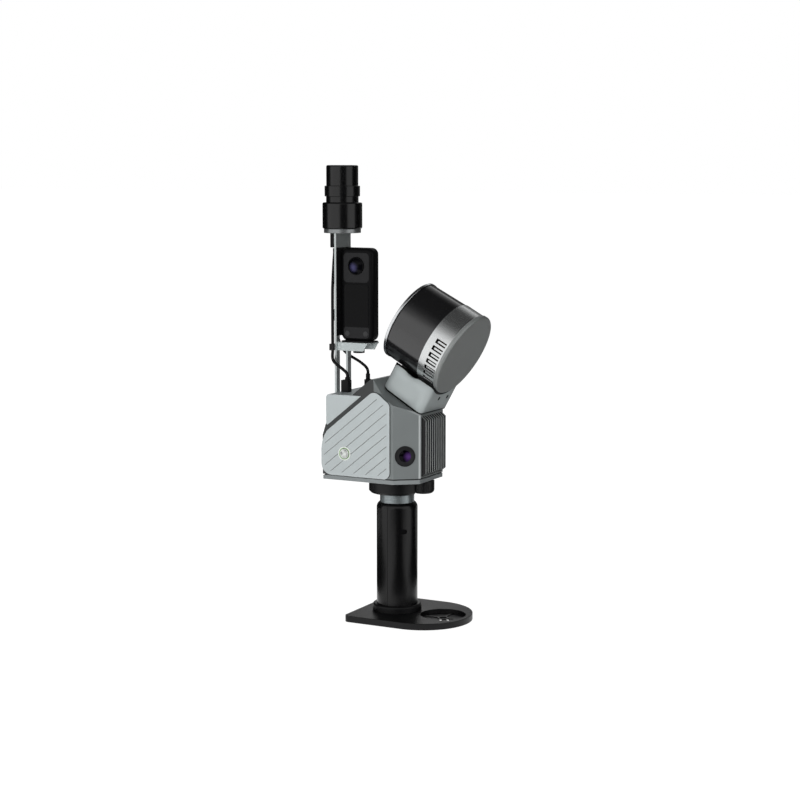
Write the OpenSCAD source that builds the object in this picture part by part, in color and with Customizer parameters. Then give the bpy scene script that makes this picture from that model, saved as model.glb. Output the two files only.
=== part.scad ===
// Handheld mapping scanner: a spinning lidar on a tilted neck, a body with two cameras and a ribbed
// front, a battery grip on a base plate, and a mast with an antenna and a panoramic camera.
// Millimetres. +X points to the front, +Y to the left and +Z up. The origin is on the grip axis,
// at the underside of the base plate.

/* [Base plate] */
// Width of the base plate
base_w = 121.4; // [112:0.2:140]
// Thickness of the base plate
base_t = 8; // [7:0.5:12]
// Distance from the grip axis to the centre of the round nose
base_nose = 35.8; // [33:0.1:50]
// Distance from the grip axis back to the rear edge
base_rear = 42; // [36:1:60]
// Radius of the rear corners
base_corner_r = 7; // [3:0.5:20]
// Radius of the sighting recess
sight_r = 27.6; // [20:0.2:28]
// Depth of the sighting recess
sight_depth = 5; // [3:0.5:6]
// Rim left between the sighting recess and the front edge
sight_rim = 5.6; // [4:0.2:8]
// Radius of the hole in the middle of the recess
sight_hole_r = 4; // [2:0.5:6]
// Width of the cross arms in the recess
reticle_arm = 2.4; // [1:0.2:4]

/* [Grip] */
// Radius of the grip
grip_r = 25.1; // [24.7:0.1:29]
// Length of the grip shells
grip_len = 126.5; // [122:0.5:160]
// Wall of the grip shells
grip_wall = 2.6; // [2:0.1:2.8]
// Radius of the rounded shoulder at the top of the grip
grip_shoulder_r = 8; // [6:0.5:10]
// Gap at the seam between the two grip shells
grip_seam = 0.2; // [0:0.1:0.5]
// Radius of the foot flange
flange_r = 30; // [28:0.5:33]
// Height of the foot flange
flange_h = 8.5; // [6:0.5:14]
// Length of the grip button around the grip
grip_button_l = 10.4; // [8:0.2:12]
// Height of the grip button
grip_button_h = 5.4; // [4:0.2:7]
// Centre of the grip button above the foot of the grip shells
grip_button_z = 92.5; // [90:0.5:98]
// Turn of the grip button from straight ahead towards the right
grip_button_turn = 46; // [30:1:60]
// Radius of a battery cell
cell_r = 9.2; // [8:0.1:9.4]
// Length of a battery cell
cell_l = 65.2; // [60:0.2:66]
// Radius of the metal collar
collar_r = 21; // [19:0.5:22]
// Visible height of the metal collar
collar_h = 11.7; // [6:0.1:20]

/* [Coupling] */
// Radius of the round coupling block
coupling_r = 34.5; // [32:0.5:38]
// Height of the coupling block
coupling_h = 17.6; // [16:0.1:30]
// Bevel along the lower edge of the coupling block
coupling_bevel = 2.5; // [1:0.5:4]
// Centre of the thumb knob ahead of the grip axis
knob_x = 36; // [34:0.5:38]
// Radius of the thumb knob
knob_r = 13.5; // [10:0.5:14]
// Height of the thumb knob
knob_h = 15.4; // [12:0.2:20]
// Radius of the thumb knob's stud
stud_r = 3; // [2:0.5:4]

/* [Body] */
// Width of the body across both side panels
body_w = 108; // [100:1:120]
// Rear face of the body behind the grip axis
body_rear = 75; // [74:0.5:84]
// Front face of the body ahead of the grip axis
body_front = 47.5; // [44:0.5:52]
// Start of the front chamfers ahead of the grip axis
chamfer_back = 18.5; // [14:0.5:22]
// Width of the flat front between the chamfers
front_w = 62; // [60:1:70]
// Radius of the upright edges beside the flat front
front_edge_r = 6; // [4:0.5:8]
// Height of the bottom cover
bottom_h = 6.2; // [5.6:0.1:8]
// Wall of the body's shells
wall = 2.5; // [2:0.1:3]
// Thickness of the side panels
panel_t = 2.5; // [2:0.1:4]
// Angle of the rear slope
slope_angle = 38.8; // [34:0.2:42]
// Height of the rear slope's lower end above the body's bottom
slope_h = 54.1; // [50:0.1:58]
// Angle of the front roof
roof_angle = 31.4; // [28:0.2:34]
// Height of the front roof at its front edge above the body's bottom
roof_h = 83.7; // [80:0.1:86]
// Height of the ridge above the body's bottom
ridge_h = 124.4; // [122:0.2:128]
// Width of the bevel between a side panel and the ridge
bevel_w = 5; // [3:0.5:8]
// Rise of the bevel, square to the rear slope
bevel_rise = 15; // [12:0.5:16]
// Spacing of the grooves in the side panels
groove_pitch = 10.35; // [9:0.05:14]
// Width of the grooves in the side panels
groove_w = 1.1; // [0.6:0.1:2]
// Depth of the grooves in the side panels
groove_depth = 0.7; // [0.3:0.1:1.2]
// Radius of the lit ring round the power button
switch_r = 8.5; // [7:0.1:10]
// Radius of the power button
power_button_r = 6.3; // [4:0.1:6.5]
// Centre of the power button behind the grip axis
power_x = 43.2; // [38:0.2:48]
// Centre of the power button above the body's bottom
power_z = 33.6; // [28:0.2:38]
// Radius of the camera bezels on the chamfers
bezel_r = 12.4; // [10:0.1:14]
// Height of the camera bezels above the body's bottom
bezel_z = 34.2; // [28:0.2:40]
// Radius of the camera lenses on the chamfers
scan_lens_r = 7; // [5:0.5:8]
// Number of ribs on the front
rib_count = 10; // [6:1:12]
// Depth of the front ribs
rib_depth = 3.8; // [2:0.1:5]

/* [Rear module] */
// Width of the rear module
module_w = 100; // [90:1:104]
// Rear face of the rear module behind the grip axis
module_rear = 71; // [70:0.5:72]
// Top of the rear module above the body's bottom
deck_h = 103.9; // [98:0.1:106]

/* [Neck and lidar] */
// Tilt of the lidar's axis below the horizontal
lidar_tilt = 29; // [26:0.5:32]
// Centre of the lidar's front disc ahead of the grip axis
lidar_x = 90.6; // [88:0.1:94]
// Centre of the lidar's front disc above the body's bottom
lidar_h = 153.5; // [151:0.1:157]
// Radius of the lidar's front disc
disc_r = 53; // [52.5:0.1:54]
// Radius of the vented band
band_r = 52; // [50:0.1:52.4]
// Length of the vented band with the disc
band_l = 30.9; // [28:0.1:36]
// Radius of the window's rear end
window_end_r = 50.2; // [48:0.1:52]
// Length of the window
window_l = 48.1; // [44:0.1:54]
// Thickness of the rear cap
cap_t = 3; // [2:0.1:5]
// Number of vents on each side of the band
vent_count = 7; // [3:1:8]
// Angle between two vents
vent_step = 10; // [9:0.5:12]
// Width of the neck
neck_w = 71; // [62:1:74]
// Front face of the neck behind the lidar's front disc
neck_front = 2.8; // [2.4:0.1:5]
// Length of the neck along the lidar
neck_l = 60.6; // [54:0.2:66]
// Top of the neck's sides below the lidar's axis
neck_top = 44.5; // [42:0.5:47]
// Radius of the neck's rear corners
neck_rear_r = 12; // [6:0.5:14]
// Radius of the neck's front corners
neck_front_r = 5.5; // [2.5:0.5:8]

/* [Mast and antenna] */
// Width of the mast plate
mast_w = 36.6; // [34:0.2:42]
// Thickness of the mast plate
mast_t = 2.6; // [2:0.1:3]
// Height of the mast's top above the rear module
mast_h = 192.6; // [180:0.2:210]
// Width of the window between the mast's legs
mast_window_w = 19.6; // [14:0.2:20]
// Radius of the antenna's lower cylinder
antenna_r = 24.3; // [22:0.1:28]
// Height of the antenna's lower cylinder
antenna_base_h = 31.9; // [26:0.1:40]
// Height of the groove above the lower cylinder
antenna_groove_h = 7.3; // [4:0.1:10]
// Height of the ring under the radome
antenna_ring_h = 12.7; // [8:0.1:18]
// Height of the radome above the ring
radome_h = 25; // [18:0.1:40]
// Radius of the radome
radome_r = 19.5; // [16:0.1:21]

/* [Panoramic camera] */
// Width of the panoramic camera
pano_w = 44.6; // [42:0.2:46]
// Depth of the panoramic camera
pano_d = 19; // [17:0.2:26]
// Height of the panoramic camera
pano_h = 113.4; // [100:0.2:120]
// Radius of the panoramic camera's corners
pano_corner_r = 8; // [4:0.5:10]
// Radius of the panoramic camera's upright edges
pano_edge_r = 5.5; // [2:0.5:6.5]
// Radius of the panoramic camera's lenses
pano_lens_r = 11; // [8:0.2:12]
// Width of the camera tray
tray_w = 30; // [26:0.5:36]
// Length of the camera tray's top
tray_l = 40.9; // [36:0.1:46]
// Height of the camera tray's sides
tray_h = 10; // [8:0.5:14]
// Thickness of the tray's sheet
tray_t = 2; // [1.5:0.1:2.5]
// Top of the tray above the rear module
tray_z = 59.8; // [56:0.1:66]

/* [Cables] */
// Diameter of the antenna cable
antenna_cable_d = 3.8; // [2.5:0.1:4]
// Diameter of the camera cable
camera_cable_d = 3.6; // [2:0.1:3.8]

/* [Hidden] */
$fn = 64;
// Travel of the buttons
power_travel = 0.8;
power_cap = 2.6;
grip_button_travel = 1;
pano_button_travel = 0.4;
// Clearances: sliding buttons, running shafts, seated pieces, and cut overshoot
slide_gap = 0.3;
run_gap = 0.05;
seat_gap = 0.1;
cut = 1;
skin = 0.01;
arc_steps = 8;

// Heights of the stack, from the floor up
z_grip = base_t + flange_h;
z_collar = z_grip + grip_len;
z_coupling = z_collar + collar_h;
z_body = z_coupling + coupling_h;
z_deck = z_body + deck_h;
z_tray = z_deck + tray_z;
z_mast_top = z_deck + mast_h;

// Base plate
sight_x = base_nose + base_w / 2 - sight_rim - sight_r;
base_screw_ring = 20;
base_screw_r = 2;
base_screw_head_r = 4;
base_screw_head_h = 2.4;

// Grip
grip_in_r = grip_r - grip_wall;
shoulder_c = grip_r - grip_shoulder_r;
shoulder_end = acos((collar_r + seat_gap - shoulder_c) / grip_shoulder_r);
shoulder_rise = grip_shoulder_r * sin(shoulder_end);
spigot_h = 4;
holder_h = 8;
holder_floor = 4;
cell_ring = (cell_r + 2 * seat_gap) / sin(60);
z_cells = z_grip + spigot_h + holder_floor;
z_holder_top = z_cells + cell_l + holder_floor;
grip_button_lip = 1.2;
collar_wall = 4;
collar_root = 12;
tenon_h = 12;

// Coupling
knob_gap = 1;
knob_top = z_body - knob_gap;
stud_l = 10;
stud_top = z_body + stud_l;
coupling_screw_l = 8;
coupling_screw_bite = 2.4;
coupling_screw_x = 17;
coupling_screw_y = 18;
screw_r = 1.5;
screw_head_r = 2.8;
screw_head_h = 2.4;

// Body: the sides carry the panels, the chamfers join the sides to the flat front
side_y = body_w / 2 - panel_t;
chamfer_dx = body_front - chamfer_back;
chamfer_dy = (body_w - front_w) / 2;
chamfer_nx = chamfer_dy / norm([chamfer_dx, chamfer_dy]);
chamfer_ny = chamfer_dx / norm([chamfer_dx, chamfer_dy]);
chamfer_k = chamfer_nx * chamfer_back + chamfer_ny * body_w / 2;
chamfer_turn = atan2(chamfer_ny, chamfer_nx);
chamfer_mid = [(chamfer_back + body_front) / 2, (body_w + front_w) / 4];
roof_fall = 0.27;
rear_lean = 5;
ridge_flat = 4;
ridge_front = 11.5;
ridge_tail = 30;
panel_low = bottom_h;
panel_over = 0.5;
panel_edge_x = chamfer_back - panel_over;
panel_rise = 42.2;
panel_top_z = slope_h + panel_rise;
board_t = 1.6;
board_rise = 14;
board_z = z_body + board_rise;
post_r = 3;
post_inset = 6;
board_back = 13;
board_front = 4.5;
board_side = 15.5;
board_x0 = -body_rear + board_back;
board_x1 = chamfer_back - board_front;
board_y = side_y - board_side;
sensor_size = [24, 24, 10];
compute_size = [12, 44, 40];
passage_x = 20;
passage_r = 12;
cover_screw_back = 13;
cover_screw_front = 8.5;
cover_screw_x = [-body_rear + cover_screw_back, chamfer_back - cover_screw_front];
front_edge_steps = 6;
cover_lug_w = 8;
cover_screw_in = 11;
cover_screw_bite = 2;
cover_screw_sink = 0.6;
boss_r = 7;
scan_tube = 1;
sink_side = 4;
sink_w = front_w - 2 * sink_side;
sink_rise = 1.6;
sink_low = bottom_h + sink_rise;
sink_drop = 3;
sink_high = roof_h - sink_drop;
sink_t = 2;
sink_edge = 2.4;
rib_w = 2.4;
rib_taper = 3;

// Mast: its front face lies against the body's rear recess
mast_recess = 0.8;
mast_front = -body_rear + mast_recess;
mast_back = mast_front - mast_t;
mast_mid = mast_front - mast_t / 2;
mast_low = 12;
mast_cross = 19;
mast_foot = 6;
mast_screw_y = 13;
mast_screw_z = [26, 46];
mast_screw_l = 5;
mast_head_h = 1.6;
tray_screw_in = 2.4;
tray_screw_y = mast_window_w / 2 + tray_screw_in;
flange_step = 1.7;
flange_disc_r = antenna_r - flange_step;
flange_disc_h = 5.1;
z_antenna = z_mast_top + flange_disc_h;
connector_back = 10.2;
connector_x = mast_back - connector_back;
connector_h = 18;

// Panoramic camera, centred on the tray
pano_clear = 0.8;
pano_x0 = mast_front + pano_clear;
pano_mid = pano_x0 + pano_w / 2;
pad_t = 1.8;
pad_over = 2;
z_pano = z_tray + pad_t;
pano_screw_r = 3.1;
pano_screw_bite = 6;
pano_screw_back = 1.8;
pano_screw_x = pano_mid - pano_screw_back;
pano_button_r = 3.2;
pano_button_dx = 12.6;
pano_button_z = 9.1;
pano_button_deep = 2;
screen_low = 17;
screen_h = 52;
screen_w = 33;
pano_lens_z = 91.6;
elbow_h = 14;
elbow_w = 8;

// Lidar, along its own axis back from the front disc
disc_t = 5;
band_wall = 3;
window_step = 0.6;
cap_lip = 0.4;
bulkhead_t = 4;
shaft_r = 5;
bearing_r = 11;
bearing_l = 7;
rotor_gap = 6;
rotor_clear = 4;
saddle_gap = 0.3;
neck_seam = 1;
neck_inset = 1.5;
neck_wall = 6;
neck_deep = 80;
neck_screw_l = 7;
neck_screw_sink = 0.4;
neck_screw_y = 9.5;
neck_screw_pitch = 22;
neck_screw_drop = 62.4;

// Route of the antenna cable, from the connector under the antenna down to the plug.
// Heights are above the rear module's top.
antenna_route = [
    [-87, 0, 173.6], [-87, 0, 167], [-86.6, -2, 159], [-85, -6, 149], [-82.6, -11.4, 138],
    [-80.6, -16, 126], [-79.6, -18, 113], [-79.3, -18.6, 100], [-79.3, -18.6, 86], [-79.3, -18.6, 72],
    [-79.3, -18.6, 60], [-79.3, -18.6, 49], [-79.2, -19.4, 44.4], [-78, -21, 40.2],
    [-75.6, -22.2, 36.8], [-72, -22.5, 33.8], [-68.2, -22.2, 31], [-64.6, -21.6, 28.4],
    [-61.4, -20.9, 25.8], [-58.9, -20.2, 23.2], [-58, -20, 20.6], [-58, -20, 18]
];
// Route of the camera cable, from its plug on the rear module up to the panoramic camera.
camera_route = [
    [-55, 26.5, 18], [-55, 26.5, 21], [-56.1, 26.4, 24.2], [-58.4, 26.2, 27], [-61.4, 25.9, 29.4],
    [-64.8, 25.5, 31.8], [-68.4, 25, 34], [-72.4, 24.2, 36.2], [-76.4, 23, 38.6], [-80, 21, 41.4],
    [-82.6, 18, 44.8], [-84, 14, 49], [-84.6, 9.8, 54], [-84.6, 6, 60], [-84.6, 3, 66.4],
    [-84.6, 1, 73], [-84.6, 0.5, 79], [-84.6, 0.5, 85]
];
cable_sides = 8;
antenna_end = antenna_route[len(antenna_route) - 1];
camera_start = camera_route[0];
camera_end = camera_route[len(camera_route) - 1];

// Outlines with rounded corners: each point is x, y and the corner's radius
function xy(p) = [p[0], p[1]];
function unit(v) = v / norm(v);
function heading(v) = atan2(v[1], v[0]);
function wrap(a) = a > 180 ? a - 360 : a < -180 ? a + 360 : a;
function sweep_arc(c, r, a0, a1) = [
    for (i = [0 : arc_steps])
        c + r * [cos(a0 + wrap(a1 - a0) * i / arc_steps), sin(a0 + wrap(a1 - a0) * i / arc_steps)]
];
function fillet(p, q, s, r) =
    let (u = unit(p - q), v = unit(s - q), half = acos(u * v) / 2)
    let (c = q + unit(u + v) * r / sin(half), d = r / tan(half))
    r == 0 ? [q] : sweep_arc(c, r, heading(q + u * d - c), heading(q + v * d - c));
function outline(pts) =
    let (n = len(pts))
    [for (i = [0 : n - 1])
        each fillet(xy(pts[(i + n - 1) % n]), xy(pts[i]), xy(pts[(i + 1) % n]), pts[i][2])];

// Extrudes a side view, drawn in X and Z, from one Y to another
module side_slab(y0, y1) {
    translate([0, y1, 0]) rotate([90, 0, 0]) linear_extrude(y1 - y0) children();
}

// A rectangle with round corners, about its own centre
module round_rect(w, h, r) {
    square([w - 2 * r, h], center = true);
    square([w, h - 2 * r], center = true);
    for (x = [-1, 1], y = [-1, 1]) translate([x * (w / 2 - r), y * (h / 2 - r)]) circle(r);
}

// A flat oval with round ends, along X
module pill(l, h) {
    square([l - h, h], center = true);
    for (x = [-1, 1]) translate([x * (l - h) / 2, 0]) circle(h / 2);
}

// A pan head screw: the head's seat is at z = 0 and the shank points down
module pan_screw(r, head_r, head_h, l) {
    cylinder(r = head_r, h = head_h);
    translate([0, 0, -l]) cylinder(r = r, h = l + head_h / 2);
}

// A tube of one diameter swept along a list of points
function route_dir(p, i) = unit(p[min(i + 1, len(p) - 1)] - p[max(i - 1, 0)]);
function route_ring(c, t, r) =
    let (u = unit(cross([0, 1, 0], t)), v = cross(t, u))
    [for (k = [0 : cable_sides - 1])
        c + r * (cos(360 * k / cable_sides) * u + sin(360 * k / cable_sides) * v)];
module swept_tube(p, d) {
    n = cable_sides;
    last = len(p) - 1;
    points = [for (i = [0 : last]) each route_ring(p[i], route_dir(p, i), d / 2)];
    walls = [
        for (i = [0 : last - 1], k = [0 : n - 1])
            let (a = i * n + k, b = i * n + (k + 1) % n)
            each [[a, a + n, b], [b, a + n, b + n]]
    ];
    start = [for (k = [1 : n - 2]) [0, k, k + 1]];
    end = [for (k = [1 : n - 2]) [last * n, last * n + k + 1, last * n + k]];
    polyhedron(points, concat(start, walls, end));
}

// Base plate: a rectangle with a round nose, and the round sighting recess in it
module base_outline() {
    translate([base_nose, 0]) circle(base_w / 2);
    translate([-base_rear + base_corner_r, -base_w / 2])
        square([base_nose + base_rear - base_corner_r, base_w]);
    translate([-base_rear, -base_w / 2 + base_corner_r])
        square([2 * base_corner_r, base_w - 2 * base_corner_r]);
    for (s = [-1, 1])
        translate([-base_rear + base_corner_r, s * (base_w / 2 - base_corner_r)]) circle(base_corner_r);
}

module base_screw_places() {
    for (a = [60, 180, 300]) rotate(a) translate([base_screw_ring, 0, 0]) children();
}

module base_plate() {
    color([0.2, 0.2, 0.21]) difference() {
        linear_extrude(base_t) base_outline();
        translate([sight_x, 0, base_t - sight_depth]) cylinder(r = sight_r, h = sight_depth + cut);
        translate([sight_x, 0, -cut]) cylinder(r = sight_hole_r, h = base_t);
        base_screw_places() {
            translate([0, 0, -cut]) cylinder(r = base_screw_r + seat_gap, h = base_t + 2 * cut);
            translate([0, 0, -cut]) cylinder(r = base_screw_head_r + seat_gap, h = cut + base_t / 2);
        }
    }
}

module sighting_reticle() {
    arm_t = 1;
    ring_gap = 0.5;
    ring_w = 2.5;
    arm_gap = 1;
    ring_in = sight_hole_r + ring_gap;
    ring_out = ring_in + ring_w;
    reach = sight_r - arm_gap;
    color([0.12, 0.12, 0.13]) translate([sight_x, 0, base_t - sight_depth]) difference() {
        union() {
            for (a = [0, 90])
                rotate(a) translate([-reach, -reticle_arm / 2, 0]) cube([2 * reach, reticle_arm, arm_t]);
            cylinder(r = ring_out, h = arm_t);
        }
        translate([0, 0, -cut]) cylinder(r = ring_in, h = arm_t + 2 * cut);
    }
}

module base_screws() {
    color([0.5, 0.5, 0.52]) base_screw_places() {
        translate([0, 0, base_t / 2 - base_screw_head_h])
            cylinder(r = base_screw_head_r, h = base_screw_head_h);
        translate([0, 0, base_t / 2 - cut]) cylinder(r = base_screw_r, h = base_t / 2 + flange_h - cut);
    }
}

// Grip: a round foot, two half shells over the battery, and a metal collar
module grip_foot_flange() {
    edge_r = 2.5;
    color([0.13, 0.13, 0.14]) translate([0, 0, base_t]) difference() {
        union() {
            rotate_extrude() {
                square([flange_r, flange_h - edge_r]);
                square([flange_r - edge_r, flange_h]);
                translate([flange_r - edge_r, flange_h - edge_r]) circle(edge_r);
            }
            cylinder(r = grip_in_r - seat_gap, h = flange_h + spigot_h);
        }
        base_screw_places() translate([0, 0, -cut])
            cylinder(r = base_screw_r + seat_gap, h = cut + flange_h);
    }
}

// Half of the grip's section, taken in by an inset
module grip_section(inset) {
    r = grip_shoulder_r - inset;
    z_turn = z_collar - shoulder_rise;
    polygon(concat(
        [[0, z_grip], [grip_r - inset, z_grip]],
        [for (i = [0 : arc_steps])
            let (a = shoulder_end * i / arc_steps)
            [shoulder_c + r * cos(a), z_turn + r * sin(a)]],
        [[0, z_turn + r * sin(shoulder_end)]]
    ));
}

// Carries its children to the grip button, looking outwards along Z
module at_grip_button() {
    translate([0, 0, z_grip + grip_button_z]) rotate([0, 0, -grip_button_turn]) rotate([90, 0, 90])
        children();
}

module grip_shell(side) {
    difference() {
        rotate_extrude() difference() {
            grip_section(0);
            grip_section(grip_wall);
        }
        translate([0, 0, z_collar - collar_root]) cylinder(r = collar_r + seat_gap, h = collar_root + cut);
        translate([0, 0, z_grip - cut]) cylinder(r = grip_in_r, h = cut + grip_wall);
        translate([side > 0 ? -2 * grip_r + grip_seam / 2 : -grip_seam / 2, -grip_r - cut, z_grip - cut])
            cube([2 * grip_r, 2 * (grip_r + cut), grip_len + 2 * cut]);
        if (side > 0)
            at_grip_button() linear_extrude(grip_r + cut)
                pill(grip_button_l + 2 * slide_gap, grip_button_h + 2 * slide_gap);
    }
}

module grip_front_shell() {
    color([0.14, 0.14, 0.15]) grip_shell(1);
}

module grip_rear_shell() {
    color([0.14, 0.14, 0.15]) grip_shell(-1);
}

// The button's lip sits behind the shell and keeps it in
lip_out = sqrt(grip_in_r ^ 2 - (grip_button_l / 2 + grip_button_lip) ^ 2) - slide_gap;
lip_in = lip_out - grip_button_lip;
module grip_button() {
    sunk = 0.4;
    color([0.08, 0.08, 0.09]) at_grip_button() {
        translate([0, 0, lip_in]) linear_extrude(grip_r - sunk - lip_in) pill(grip_button_l, grip_button_h);
        translate([0, 0, lip_in]) linear_extrude(grip_button_lip)
            pill(grip_button_l + 2 * grip_button_lip, grip_button_h + 2 * grip_button_lip);
    }
}

module grip_switch_board() {
    switch_t = 2.4;
    switch_w = 6;
    width = 24;
    above = 12;
    face = lip_in - grip_button_travel - slide_gap - switch_t;
    rise = z_grip + grip_button_z - z_holder_top;
    color([0.05, 0.3, 0.15]) at_grip_button() {
        translate([-width / 2, -rise, face - board_t]) cube([width, rise + above, board_t]);
        translate([-switch_w / 2, -switch_w / 2, face]) cube([switch_w, switch_w, switch_t]);
    }
}

module cell_places() {
    for (a = [0, 120, 240]) rotate(a) translate([cell_ring, 0, 0]) children();
}

module battery_cells() {
    color([0.2, 0.35, 0.6]) cell_places() translate([0, 0, z_cells]) cylinder(r = cell_r, h = cell_l);
}

module battery_holders() {
    color([0.1, 0.1, 0.1]) for (z = [z_cells - holder_floor, z_cells + cell_l + holder_floor - holder_h])
        difference() {
            translate([0, 0, z]) cylinder(r = grip_in_r - 2 * seat_gap, h = holder_h);
            cell_places() translate([0, 0, z_cells]) cylinder(r = cell_r + seat_gap, h = cell_l);
        }
}

module grip_collar() {
    color([0.55, 0.58, 0.6]) difference() {
        union() {
            translate([0, 0, z_collar - collar_root]) cylinder(r = collar_r, h = collar_root + collar_h);
            translate([0, 0, z_coupling - cut]) cylinder(r = collar_r - collar_wall, h = tenon_h + cut);
        }
        translate([0, 0, z_collar - collar_root - cut])
            cylinder(r = collar_r - 2 * collar_wall, h = collar_root + collar_h + tenon_h + 2 * cut);
    }
}

// Coupling: a round block screwed under the body, with a thumb knob let into its front
module coupling_screw_places() {
    for (x = [-1, 1], y = [-1, 1]) translate([x * coupling_screw_x, y * coupling_screw_y, 0]) children();
}

module coupling_block() {
    color([0.1, 0.1, 0.11]) difference() {
        translate([0, 0, z_coupling]) rotate_extrude() polygon([
            [0, 0], [coupling_r - coupling_bevel, 0], [coupling_r, coupling_bevel],
            [coupling_r, coupling_h], [0, coupling_h]
        ]);
        translate([0, 0, z_coupling - cut])
            cylinder(r = collar_r - collar_wall + seat_gap, h = tenon_h + cut);
        translate([knob_x, 0, z_coupling - cut]) cylinder(r = knob_r + slide_gap, h = coupling_h + 2 * cut);
        coupling_screw_places() {
            translate([0, 0, z_coupling - cut]) cylinder(r = screw_r + seat_gap, h = coupling_h + 2 * cut);
            translate([0, 0, z_coupling - cut])
                cylinder(r = screw_head_r + seat_gap, h = cut + coupling_h - coupling_screw_l);
        }
    }
}

module coupling_screws() {
    color([0.5, 0.5, 0.52]) coupling_screw_places() translate([0, 0, z_body - coupling_screw_l])
        mirror([0, 0, 1])
            pan_screw(screw_r, screw_head_r, screw_head_h, coupling_screw_l + coupling_screw_bite);
}

module coupling_knob() {
    flutes = 20;
    flute_stop = 2;
    flute_r = 1.1;
    edge_r = 5;
    color([0.08, 0.08, 0.09]) translate([knob_x, 0, 0]) difference() {
        union() {
            translate([0, 0, knob_top - knob_h]) rotate_extrude() {
                translate([0, edge_r]) square([knob_r, knob_h - edge_r]);
                square([knob_r - edge_r, knob_h]);
                intersection() {
                    translate([knob_r - edge_r, edge_r]) circle(edge_r);
                    square([knob_r, knob_h]);
                }
            }
            translate([0, 0, knob_top - cut]) cylinder(r = stud_r, h = stud_top - knob_top + cut);
        }
        for (i = [0 : flutes - 1])
            rotate(360 * i / flutes) translate([knob_r + flute_r / 2, 0, knob_top - knob_h - cut])
                cylinder(r = flute_r, h = knob_h + cut - flute_stop);
    }
}

// Body: the space inside the casing, taken in by an inset. It is a hull of side views that grow
// towards the middle, a ridge over the rear slope, and a plan with the two front chamfers.
slope_m = tan(slope_angle);
roof_m = tan(roof_angle);
shoulder_y = side_y - bevel_w;
function slope_z(x, d) = slope_h + slope_m * (x + body_rear) + d / cos(slope_angle);
function roof_z(x, y, t) =
    roof_h + roof_m * (body_front - x) - roof_fall * (y - neck_w / 2) - t / cos(roof_angle);
function crest_x(d, y, t) =
    (roof_z(0, y, t) - slope_z(0, d)) / (slope_m + roof_m);
function body_view(d, y, t) = [
    [-body_rear + t, 0], [-body_rear + t, slope_z(-body_rear + t, -t)],
    [-body_rear + t + rear_lean, slope_z(-body_rear + t + rear_lean, d - t)],
    [crest_x(d - t, y, t), slope_z(crest_x(d - t, y, t), d - t)],
    [body_front - t, roof_z(body_front - t, y, t)], [body_front - t, 0]
];
function ridge_x(t) = (ridge_h - t - slope_z(0, bevel_rise - t)) / slope_m;
function ridge_view(d, t) = [
    [ridge_x(t) - ridge_tail, slope_z(ridge_x(t) - ridge_tail, d)],
    [ridge_x(t), slope_z(ridge_x(t), d)],
    [ridge_x(t) + ridge_flat, slope_z(ridge_x(t), d)],
    [ridge_x(t) + ridge_flat + ridge_front, roof_z(ridge_x(t) + ridge_flat + ridge_front, shoulder_y, t)],
    [ridge_x(t) - ridge_tail, slope_h]
];

module body_plan(t) {
    y = side_y - t;
    k = chamfer_k - t;
    x = body_front - t;
    r = max(front_edge_r - t, wall / 4);
    x_side = (k - chamfer_ny * y) / chamfer_nx;
    x_arc = x - r;
    y_arc = (k - r - chamfer_nx * x_arc) / chamfer_ny;
    turns = [for (i = [0 : front_edge_steps]) chamfer_turn * i / front_edge_steps];
    right = [[-body_rear + t, -y], [x_side, -y],
        for (i = [front_edge_steps : -1 : 0]) [x_arc + r * cos(turns[i]), -y_arc - r * sin(turns[i])]];
    left = [for (a = turns) [x_arc + r * cos(a), y_arc + r * sin(a)], [x_side, y], [-body_rear + t, y]];
    polygon(concat(right, left));
}

module body_space(t) {
    views = [[0, side_y - t], [bevel_rise, shoulder_y - t], [bevel_rise, neck_w / 2]];
    translate([0, 0, z_body]) intersection() {
        translate([0, 0, bottom_h]) linear_extrude(2 * ridge_h) body_plan(t);
        union() {
            hull() for (v = views, s = [-1, 1])
                side_slab(s * v[1] - skin, s * v[1] + skin) polygon(body_view(v[0], v[1], t));
            hull() for (s = [-1, 1]) {
                side_slab(s * (shoulder_y - t) - skin, s * (shoulder_y - t) + skin)
                    polygon(ridge_view(bevel_rise - t, t));
                side_slab(s * (side_y - t) - skin, s * (side_y - t) + skin) polygon([
                    [ridge_x(t) - ridge_tail, slope_z(ridge_x(t) - ridge_tail, -t)],
                    [crest_x(-t, side_y, t), slope_z(crest_x(-t, side_y, t), -t)],
                    [ridge_x(t) - ridge_tail, slope_h]
                ]);
            }
        }
    }
}

// Carries its children to a chamfer's camera, looking outwards along Z
module at_scan_camera(s) {
    mirror([0, s < 0 ? 0 : 1, 0]) translate([chamfer_mid[0], -chamfer_mid[1], z_body + bezel_z])
        rotate([0, 0, -chamfer_turn]) rotate([90, 0, 90]) children();
}

// Carries its children to the power button, looking out of the right side along Z
module at_power_button() {
    translate([-power_x, -body_w / 2, z_body + power_z]) rotate([90, 0, 0]) children();
}

module mast_screw_places() {
    for (y = [-1, 1], z = mast_screw_z) translate([mast_back, y * mast_screw_y, z_body + z])
        rotate([0, -90, 0]) children();
}

module cover_screw_places() {
    for (x = cover_screw_x, s = [-1, 1]) translate([x, s * (side_y - cover_screw_in), z_body]) children();
}

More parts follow.
